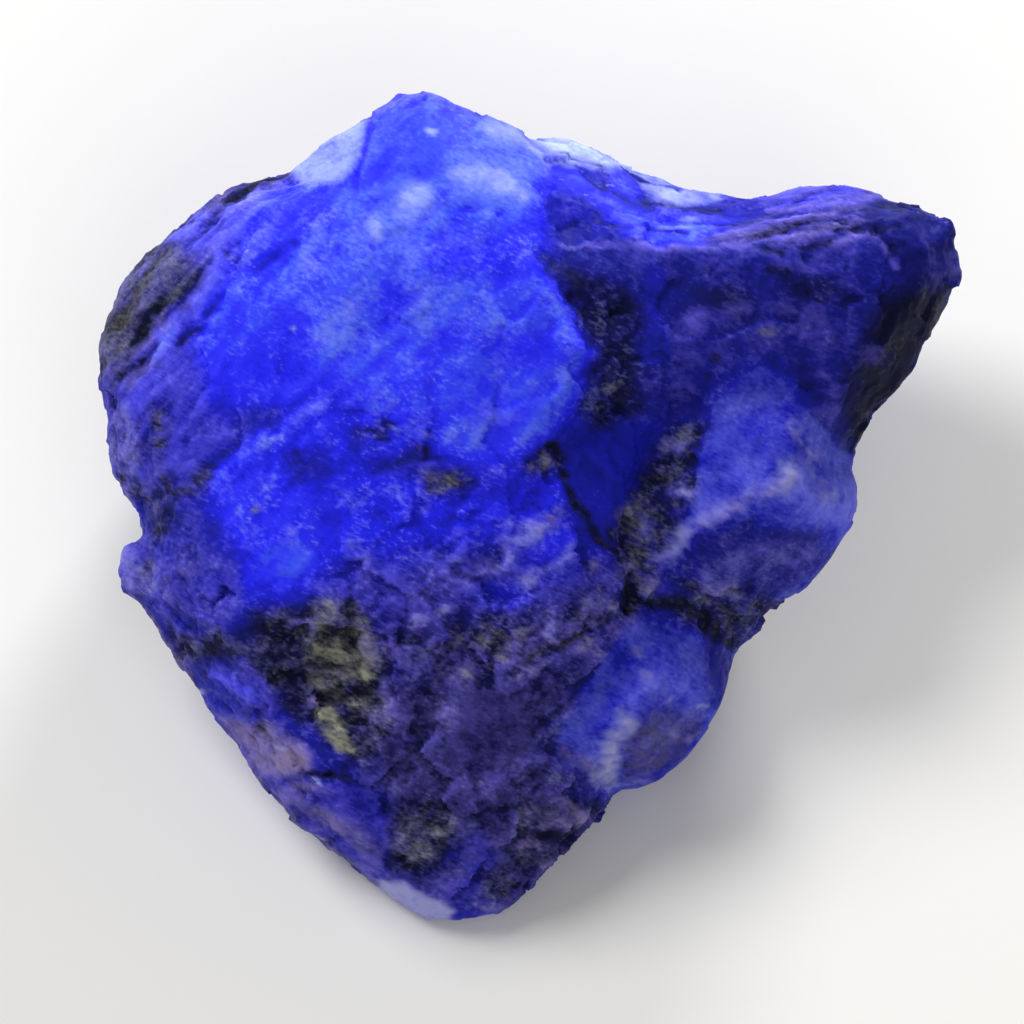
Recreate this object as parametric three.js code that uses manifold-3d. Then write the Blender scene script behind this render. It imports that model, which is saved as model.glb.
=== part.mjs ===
// Rough tanzanite: one lump of blue zoisite with patches of dark matrix, about 47 mm across.
//
// The stone is described in the frame of its broad blue face, in mm: u runs across the face,
// v runs up it and w stands out of it. A distance field gives the shape: blocks bounded by flat
// facets, two lobes and a knob grown onto them, grooves between them and one hollow. A fine ball
// is wrapped onto that field, leaned back the way the stone rests, and cut off flat along the
// cleavage under it.

import * as THREE from 'three';
import { mergeVertices } from 'three/addons/utils/BufferGeometryUtils.js';
import { ImprovedNoise } from 'three/addons/math/ImprovedNoise.js';
import Module from 'manifold-3d';

// ---- driving dimensions, mm and degrees ----

const leanBack = 25;          // how far the broad face is turned up from lying level
const baseDepth = 10.5;       // from the middle of the stone down to the cleavage it rests on
const heart = new THREE.Vector3(0, 2, -2);   // a point from which every face can be seen
const reach = 40;             // farther from the heart than any point of the stone

const edgeRound = 1.0;        // how softly two facets of one block meet
const blockRound = 0.9;       // how softly one block grows out of the next
const rimRound = 1.0;         // how softly the faces turn over at the rim
const grooveRound = 1.0;      // how softly grooves and the hollow break the faces

const frontDraft = 0.5;       // how fast the rim draws in above its widest line
const backDraft = 0.22;       // and below it
const rimBelly = 1.5;         // height over which the rim is nearly upright

const wave = { length: 7, height: 0.55 };      // gentle waves over every face
const chips = { length: 2.6, height: 0.28 };   // small chips on top of them

const ballDetail = 18;        // how often each edge of the icosahedron is divided
const searchStep = 0.5;       // step of the search for the surface, inwards along a ray
const searchHalvings = 12;
const slopeStep = 0.05;       // distance over which the field's slope is measured
const settleRounds = 9;
const slideShare = 0.6;       // how much of the way to its neighbours' middle a point slides
const longestDrop = 0.5;      // how far it may drop back onto the surface in one round
const gentlestSlope = 0.5;

// ---- the rim: the widest line round the stone, clockwise from the top knob, as u, v, w ----

const rim = [
  [-6.0, 22.6, 4.5], [-4.4, 22.1, 4.5], [-3.6, 21.5, 4.5], [-2.5, 21.5, 4], [-0.5, 20.3, 3],
  [1.2, 20.1, 0.5], [3.8, 19.4, 0.5], [6.2, 18.2, 0.5], [8.8, 17.5, 0.5], [11.8, 16.85, 0.8],
  [15.2, 17.6, 0.6], [18.7, 17.0, 0.5], [21.2, 16.7, 0.5], [22.9, 15.8, 0.4], [23.85, 13.4, 0.2],
  [23.2, 12.2, 0], [22.4, 10.3, -0.3], [20.9, 7.8, -0.5], [19.2, 5.5, -0.8], [18.2, 4.3, -1],
  [17.5, 2.6, -1], [17.95, 0.3, -0.5], [17.3, -1.8, -0.5], [15.3, -4.2, -0.5], [13.0, -5.9, -0.8],
  [10.9, -8.1, -1.5], [10.4, -10.2, -1], [8.7, -13.2, -1], [6.5, -15.3, -1], [4.6, -15.9, -1.5],
  [3.8, -17.4, -0.6], [1.7, -19.1, 0], [-0.8, -21.5, 0.6], [-2.5, -22.45, 1], [-6.0, -22.65, 1],
  [-8.0, -21.3, 1], [-11.2, -18.8, 0.8], [-14.6, -15.6, 0.8], [-17.9, -11.4, 0.8],
  [-18.9, -9.6, 0.8], [-21.6, -5.3, 1], [-22.85, -3.2, 1], [-21.5, -1.5, 1],
  [-22.6, 1.1, 1], [-23.35, 2.7, 1], [-23.1, 4.0, 1], [-23.85, 7.5, 1], [-23.2, 11.2, 1],
  [-21.2, 14.2, 1], [-19.2, 15.8, 1], [-16.3, 17.5, 1.5], [-12.6, 18.6, 2.5],
  [-11.3, 19.7, 3], [-9.0, 21.1, 3.5], [-7.4, 22.3, 4],
];
const rimSteps = 220;

// ---- blocks: each is the space under its facets, given by a point and the way it faces ----

const crown = [
  { at: [-4, 8, 11.8], faces: [-0.05, 0.03, 1] },       // broad clear face
  { at: [-13, 6, 10.2], faces: [-0.4, 0.05, 1] },       // its left shoulder
  { at: [-19, 6, 6.8], faces: [-0.85, 0.15, 1] },       // striated left flank
  { at: [-6, 14.5, 10.9], faces: [-0.02, 0.42, 1] },    // slope up to the knob
  { at: [-15, 14, 7.6], faces: [-0.55, 0.6, 1] },       // upper left slope
  { at: [-6, 0, 11.3], faces: [0, -0.25, 1] },          // roll-over into the lower face
];

const windowBlock = [
  ...crown,
  { at: [1.9, 11.2, 10], faces: [0.87, 0.49, 0.35] },   // right wall, upper half
  { at: [3.1, 6.4, 10], faces: [0.84, -0.5, 0.35] },    // right wall, lower half
];

const paleBlock = [
  { at: [-2, 18, 8.9], faces: [0.3, 0.3, 1] },          // pale plane right of the knob
  { at: [1.2, 18, 7.2], faces: [0.85, 0.25, 0.6] },
  { at: [-2, 15.2, 9.6], faces: [0.3, -0.5, 1] },
  { at: [-6, 18, 9.0], faces: [-0.6, 0, 1] },
];

const lowerBlock = [
  ...crown,
  { at: [-4, -8, 9.4], faces: [0.02, -0.42, 1] },       // smooth dark face
  { at: [-4, -17, 6.0], faces: [0.05, -0.72, 1] },      // slope down to the foot
  { at: [-14, -8, 7.4], faces: [-0.5, -0.35, 1] },      // left slope with the hollow
  { at: [-17, -10, 4.8], faces: [-0.8, -0.6, 1] },      // bevel at the lower left rim
  { at: [3.2, -2, 9.2], faces: [0.6, 0.1, 1] },         // fall towards the grooves
  { at: [6.5, -4, 6.0], faces: [1, -0.1, 1] },          // low skirt under the lobes
  { at: [1.5, -17, 3.6], faces: [0.6, -0.6, 1] },       // bevel at the lower right rim
];

const wingBlock = [
  ...crown,
  { at: [-1.5, 8, 11.2], faces: [0.28, -0.02, 1] },     // dark face of the wing
  { at: [10, 14.3, 7.8], faces: [0.2, 0.95, 1] },       // back of the wing ridge
  { at: [19.8, 12, 5.2], faces: [0.7, 0.1, 1] },        // end of the wing
  { at: [20.6, 9.5, 4.0], faces: [1, -0.5, 0.9] },      // broken right edge
  { at: [11, 7.2, 7.4], faces: [0.3, -0.5, 1] },        // fall towards the upper lobe
];

const shelfBlock = [
  { at: [5, 17.5, 3.4], faces: [0.15, -0.15, 1] },      // thin shelf along the back
  { at: [0, 18, 3.6], faces: [-0.5, 0, 1] },
];

const underside = [
  { at: [-22.4, 4, -5], faces: [-0.85, 0.1, -0.5] },    // undercut left
  { at: [-17, -11, -4], faces: [-0.6, -0.45, -0.6] },   // undercut lower left
  { at: [16.5, 1, -6], faces: [0.75, -0.35, -0.55] },   // undercut below the lobes
  { at: [9.5, -11, -4.5], faces: [0.55, -0.55, -0.5] }, // undercut lower right
  { at: [20, 12, -4], faces: [0.6, -0.1, -0.9] },       // underside of the wing
  { at: [14, 17.5, -7], faces: [0.35, 0.75, -0.5] },    // back right
  { at: [-3, 20.5, -6], faces: [-0.05, 0.95, -0.25] },  // back
  { at: [-17, 16.5, -5], faces: [-0.55, 0.65, -0.45] }, // back left
  { at: [-4, -22.4, -1.2], faces: [0, -0.93, -0.34] },  // bevels round the cleaved base
  { at: [0, 15, -12], faces: [0.1, 0.34, -0.93] },
  { at: [-19, -2, -4.4], faces: [-0.7, -0.3, -0.63] },
  { at: [14, -2, -5], faces: [0.7, -0.3, -0.63] },
];

const lobes = [
  {
    at: [12.2, 0.7, 0.8],                                 // upper lobe
    radii: [6.1, 6.9, 8.2],
    facets: [
      { at: [11, 0.2, 8.0], faces: [-0.1, 0.2, 1] },
      { at: [11, 0.2, 8.0], faces: [0.3, -0.5, 1] },
      { at: [15.0, 2.2, 8.0], faces: [0.7, 0.15, 1] },
    ],
  },
  {
    at: [6.0, -11.1, -0.2],                               // lower lobe
    radii: [5.2, 5.2, 8.0],
    facets: [
      { at: [5.4, -10.6, 6.9], faces: [-0.25, 0.25, 1] },
      { at: [6.4, -9.6, 6.9], faces: [0.6, 0.1, 1] },
      { at: [4.8, -12.2, 6.7], faces: [0.25, -0.75, 1] },
    ],
  },
  {
    at: [-6.3, 18.9, 4.4],                                // top knob
    radii: [4.6, 4.4, 5.0],
    facets: [
      { at: [-6.3, 19, 9.0], faces: [0.1, 0.25, 1] },
    ],
  },
];

const grooves = [
  { path: [[8.6, 5.6, 7.4], [6.4, 2.2, 6.6], [5.0, -1.2, 6.8], [5.4, -5, 6.6]], radius: 0.8 },
  { path: [[5.6, -5.2, 6.8], [8.4, -6.4, 5.2], [11.2, -8.2, 2.8]], radius: 0.7 },
];

const hollow = { at: [-10.6, -9.6, 9.2], radii: [2.7, 3.5, 2.2] };

// ---- field helpers: negative inside the stone, positive outside, in mm ----

const vector = (values) => new THREE.Vector3(...values);

const smoothMin = (a, b, round) => {
  const overlap = Math.max(round - Math.abs(a - b), 0) / round;
  return Math.min(a, b) - overlap * overlap * round / 4;
};

const smoothMax = (a, b, round) => -smoothMin(-a, -b, round);

const toPlanes = (facets) => facets.map(({ at, faces }) =>
  new THREE.Plane().setFromNormalAndCoplanarPoint(vector(faces).normalize(), vector(at)));

const blocks = [windowBlock, paleBlock, lowerBlock, wingBlock, shelfBlock].map(toPlanes);
const undersidePlanes = toPlanes(underside);
const facetedLobes = lobes.map((lobe) => ({ ...lobe, planes: toPlanes(lobe.facets) }));

const insideFacets = (planes, point) => planes
  .map((plane) => plane.distanceToPoint(point))
  .reduce((far, next) => smoothMax(far, next, edgeRound));

const ellipsoid = (at, radii, point) => {
  const scaled = point.clone().sub(vector(at)).divide(vector(radii));
  const steepness = scaled.clone().divide(vector(radii)).length();
  return scaled.length() * (scaled.length() - 1) / Math.max(steepness, Number.EPSILON);
};

const nearestOnLine = new THREE.Vector3();

const groove = ({ path, radius }, point) => {
  let nearest = Infinity;
  for (let i = 1; i < path.length; i += 1) {
    const line = new THREE.Line3(vector(path[i - 1]), vector(path[i]));
    line.closestPointToPoint(point, true, nearestOnLine);
    nearest = Math.min(nearest, nearestOnLine.distanceTo(point));
  }
  return nearest - radius;
};

// The rim as a closed polygon seen along w, with the height of the widest line at each corner.
const rimLine = new THREE.CatmullRomCurve3(rim.map(vector), true, 'centripetal')
  .getPoints(rimSteps).slice(0, rimSteps);

const outsideRim = (point) => {
  let nearest = Infinity;
  let height = 0;
  let inside = false;
  for (let i = 0, j = rimLine.length - 1; i < rimLine.length; j = i, i += 1) {
    const a = rimLine[j];
    const b = rimLine[i];
    const du = b.x - a.x;
    const dv = b.y - a.y;
    const along = ((point.x - a.x) * du + (point.y - a.y) * dv) / (du * du + dv * dv);
    const share = THREE.MathUtils.clamp(along, 0, 1);
    const gap = Math.hypot(point.x - a.x - share * du, point.y - a.y - share * dv);
    if (gap < nearest) {
      nearest = gap;
      height = THREE.MathUtils.lerp(a.z, b.z, share);
    }
    const crosses = (a.y > point.y) !== (b.y > point.y);
    if (crosses && point.x < a.x + du * (point.y - a.y) / dv) inside = !inside;
  }
  const rise = point.z - height;
  const draft = rise > 0 ? frontDraft : backDraft;
  return (inside ? -nearest : nearest) + draft * (Math.hypot(rise, rimBelly) - rimBelly);
};

const noise = new ImprovedNoise();

const ripple = ({ length, height }, point) =>
  height * noise.noise(point.x / length, point.y / length, point.z / length);

const stoneField = (point) => {
  let field = Infinity;
  for (const planes of blocks) field = smoothMin(field, insideFacets(planes, point), blockRound);
  for (const { at, radii, planes } of facetedLobes) {
    const ball = ellipsoid(at, radii, point);
    const lobe = smoothMax(ball, insideFacets(planes, point), edgeRound);
    field = smoothMin(field, lobe, blockRound);
  }
  for (const line of grooves) field = smoothMax(field, -groove(line, point), grooveRound);
  field = smoothMax(field, -ellipsoid(hollow.at, hollow.radii, point), grooveRound);
  field = smoothMax(field, insideFacets(undersidePlanes, point), rimRound);
  field = smoothMax(field, outsideRim(point), rimRound);
  return field + ripple(wave, point) + ripple(chips, point);
};

// ---- wrapping a ball onto the field ----

// The first point of the stone met on the way in along a ray to its heart.
const wrapFromOutside = (direction) => {
  const at = (distance) => direction.clone().multiplyScalar(distance).add(heart);
  let outer = reach;
  while (outer > searchStep && stoneField(at(outer - searchStep)) > 0) outer -= searchStep;
  let inner = outer - searchStep;
  for (let i = 0; i < searchHalvings; i += 1) {
    const middle = (inner + outer) / 2;
    if (stoneField(at(middle)) > 0) outer = middle;
    else inner = middle;
  }
  return at(outer);
};

const slopeAt = (point) => {
  const slope = new THREE.Vector3();
  for (const axis of ['x', 'y', 'z']) {
    const ahead = point.clone();
    const behind = point.clone();
    ahead[axis] += slopeStep;
    behind[axis] -= slopeStep;
    slope[axis] = (stoneField(ahead) - stoneField(behind)) / (2 * slopeStep);
  }
  return slope;
};

// Spreads the points evenly along the surface: each moves towards its neighbours' middle,
// but only along the surface, and is then dropped back onto it.
const settle = (points, neighbours) => {
  for (let round = 0; round < settleRounds; round += 1) {
    const moved = points.map((point, i) => {
      const middle = new THREE.Vector3();
      for (const j of neighbours[i]) middle.add(points[j]);
      middle.divideScalar(neighbours[i].size);
      const normal = slopeAt(point).normalize();
      const slide = middle.sub(point);
      slide.addScaledVector(normal, -slide.dot(normal)).multiplyScalar(slideShare);
      const next = point.clone().add(slide);
      const slope = slopeAt(next);
      const above = stoneField(next) / Math.max(slope.length(), gentlestSlope);
      const drop = THREE.MathUtils.clamp(above, -longestDrop, longestDrop);
      return next.addScaledVector(slope.normalize(), -drop);
    });
    moved.forEach((point, i) => points[i].copy(point));
  }
};

// A closed mesh whose neighbouring triangles share their corners.
const welded = (geometry) => {
  geometry.deleteAttribute('normal');
  geometry.deleteAttribute('uv');
  return mergeVertices(geometry);
};

const wrapBall = () => {
  const mesh = welded(new THREE.IcosahedronGeometry(1, ballDetail));
  const position = mesh.getAttribute('position');
  const corners = mesh.getIndex().array;
  const points = [];
  for (let i = 0; i < position.count; i += 1) {
    points.push(wrapFromOutside(new THREE.Vector3().fromBufferAttribute(position, i).normalize()));
  }
  const neighbours = points.map(() => new Set());
  for (let i = 0; i < corners.length; i += 3) {
    const [a, b, c] = corners.slice(i, i + 3);
    neighbours[a].add(b).add(c);
    neighbours[b].add(a).add(c);
    neighbours[c].add(a).add(b);
  }
  settle(points, neighbours);
  points.forEach((point, i) => position.setXYZ(i, point.x, point.y, point.z));
  return mesh;
};

// ---- cutting the cleaved base ----

const wasm = await Module();
wasm.setup();

const toSolid = (geometry) => new wasm.Manifold(new wasm.Mesh({
  numProp: 3,
  vertProperties: Float32Array.from(geometry.getAttribute('position').array),
  triVerts: Uint32Array.from(geometry.getIndex().array),
}));

const toGeometry = (solid) => {
  const mesh = solid.getMesh();
  const geometry = new THREE.BufferGeometry();
  geometry.setAttribute('position', new THREE.BufferAttribute(mesh.vertProperties, 3));
  geometry.setIndex(new THREE.BufferAttribute(mesh.triVerts, 1));
  return geometry;
};

const slabBelow = (level) => {
  const slab = new THREE.BoxGeometry(2 * reach, 2 * reach, reach);
  slab.translate(0, 0, level - reach / 2);
  return welded(slab);
};

const makeStone = () => {
  const lean = THREE.MathUtils.degToRad(leanBack);
  const whole = toSolid(wrapBall().rotateX(lean));
  const below = toSolid(slabBelow(-baseDepth * Math.cos(lean)));
  const stone = toGeometry(whole.subtract(below));
  stone.computeBoundingBox();
  const { min, max } = stone.boundingBox;
  stone.translate(-(min.x + max.x) / 2, -(min.y + max.y) / 2, -min.z);
  stone.computeVertexNormals();
  return stone;
};

// ---- the stone ----

const tanzanite = new THREE.MeshStandardMaterial({ color: 0x2a2ab8, roughness: 0.45, metalness: 0 });

const stone = new THREE.Mesh(makeStone(), tanzanite);
stone.name = 'rough_tanzanite';

const object = new THREE.Group();
object.add(stone);

export default object;
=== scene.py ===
import itertools
import math

import bmesh
import bpy
import numpy as np
from mathutils import Matrix, Vector


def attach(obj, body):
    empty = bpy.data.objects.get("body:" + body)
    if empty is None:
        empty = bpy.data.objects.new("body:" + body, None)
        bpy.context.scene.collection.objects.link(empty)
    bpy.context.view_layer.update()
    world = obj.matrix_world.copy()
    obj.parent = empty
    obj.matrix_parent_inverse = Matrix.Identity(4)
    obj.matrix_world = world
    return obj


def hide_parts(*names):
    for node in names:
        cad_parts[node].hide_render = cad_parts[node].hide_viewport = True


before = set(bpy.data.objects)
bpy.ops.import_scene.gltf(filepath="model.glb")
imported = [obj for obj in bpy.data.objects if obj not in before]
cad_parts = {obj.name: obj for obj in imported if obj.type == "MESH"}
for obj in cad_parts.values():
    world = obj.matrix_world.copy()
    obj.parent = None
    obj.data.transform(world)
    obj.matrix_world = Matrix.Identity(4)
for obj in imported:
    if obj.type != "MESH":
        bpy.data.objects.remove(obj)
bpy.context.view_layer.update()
print("frame loaded:", sorted(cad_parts))

scene = bpy.context.scene
scene.view_settings.view_transform = "Standard"  # a hex colour then shows as itself
mm = 0.001

face = {
    "leanBack": 25,  # degrees from level of the broad broken face that the light shines through
    "middle": (0.2236, -0.3096, 9.5162),  # mm, where u across, v up and w out of that face are nought
}


def turnToFace(vectors):  # row frame directions to u across, v up and w out of the face
    x, y, z = vectors.T
    lean = math.radians(face["leanBack"])
    up = y * math.cos(lean) + z * math.sin(lean)
    out = z * math.cos(lean) - y * math.sin(lean)
    return np.stack([x, up, out], axis=1)


def randomOf(cells, seed):  # an even number from 0 to 1 for each whole-number cell
    n = cells.astype(np.int64)
    mixed = n[:, 0] * 374761393 + n[:, 1] * 668265263 + n[:, 2] * 974634777 + seed * 1442695
    mixed = (mixed ^ (mixed >> 13)) * 1274126177
    mixed = (mixed ^ (mixed >> 16)) * 2246822519
    mixed = mixed ^ (mixed >> 15)
    return (mixed & 0xFFFFFF) / 0xFFFFFF


def lumps(points, size, seed=0):  # gradient noise from about -1 to 1, lumps `size` mm across
    scaled = points / size
    base = np.floor(scaled)
    part = scaled - base
    fade = part**3 * (part * (part * 6 - 15) + 10)
    total = np.zeros(len(points))
    for corner in itertools.product((0, 1), repeat=3):
        cell = base + corner
        turn = randomOf(cell, seed) * 2 * math.pi
        rise = randomOf(cell, seed + 7) * 2 - 1
        flat = np.sqrt(1 - rise**2)
        away = part - corner
        slope = away[:, 0] * flat * np.cos(turn) + away[:, 1] * flat * np.sin(turn)
        slope += away[:, 2] * rise
        share = np.prod(np.where(corner, fade, 1 - fade), axis=1)
        total += slope * share
    return total * 1.7


def shards(points, size, tilt, lift, seed=0):  # broken facets `size` mm across, each a tilted flat
    scaled = points / size
    base = np.floor(scaled)
    nearest = np.full(len(points), 9.0)
    height = np.zeros(len(points))
    for step in itertools.product((-1, 0, 1), repeat=3):
        cell = base + step
        middle = cell + np.stack([randomOf(cell, seed + k) for k in range(3)], axis=1)
        away = scaled - middle
        gap = np.linalg.norm(away, axis=1)
        slope = np.stack([randomOf(cell, seed + k) - 0.5 for k in range(3, 6)], axis=1)
        here = (away * slope).sum(axis=1) * 2 * tilt + (randomOf(cell, seed + 6) - 0.5) * lift
        closer = gap < nearest
        nearest = np.where(closer, gap, nearest)
        height = np.where(closer, here, height)
    return height * size


def smooth(low, high, value):
    t = np.clip((value - low) / (high - low), 0, 1)
    return t * t * (3 - 2 * t)


def toLine(spots, line):  # distance from each u, v spot to a bent line
    best = np.full(len(spots), 1e9)
    for start, end in zip(line[:-1], line[1:]):
        start = np.array(start, float)
        along = np.array(end, float) - start
        t = np.clip(((spots - start) @ along) / max(along @ along, 1e-9), 0, 1)
        best = np.minimum(best, np.linalg.norm(spots - start - t[:, None] * along, axis=1))
    return best


def toArea(spots, outline):  # the same to an outline, and less than nought inside it
    closed = list(outline) + [outline[0]]
    inside = np.zeros(len(spots), bool)
    for (ua, va), (ub, vb) in zip(closed[:-1], closed[1:]):
        if va == vb:
            continue
        crosses = (va > spots[:, 1]) != (vb > spots[:, 1])
        inside ^= crosses & (spots[:, 0] < (ub - ua) * (spots[:, 1] - va) / (vb - va) + ua)
    return np.where(inside, -1, 1) * toLine(spots, closed)


def toSpot(spots, spot):  # the same to an ellipse: middle u, v, half sizes, and turn in degrees
    u, v, wide, tall, turn = spot
    c, s = math.cos(math.radians(turn)), math.sin(math.radians(turn))
    du, dv = spots[:, 0] - u, spots[:, 1] - v
    reach = np.hypot((du * c + dv * s) / wide, (dv * c - du * s) / tall)
    return (reach - 1) * min(wide, tall)


def distance(spots, shape):  # to any shape of the list of places
    if isinstance(shape, list):
        return toArea(spots, shape)
    if isinstance(shape[1], list):
        width, line = shape
        return toLine(spots, line) - width / 2
    return toSpot(spots, shape)


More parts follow.
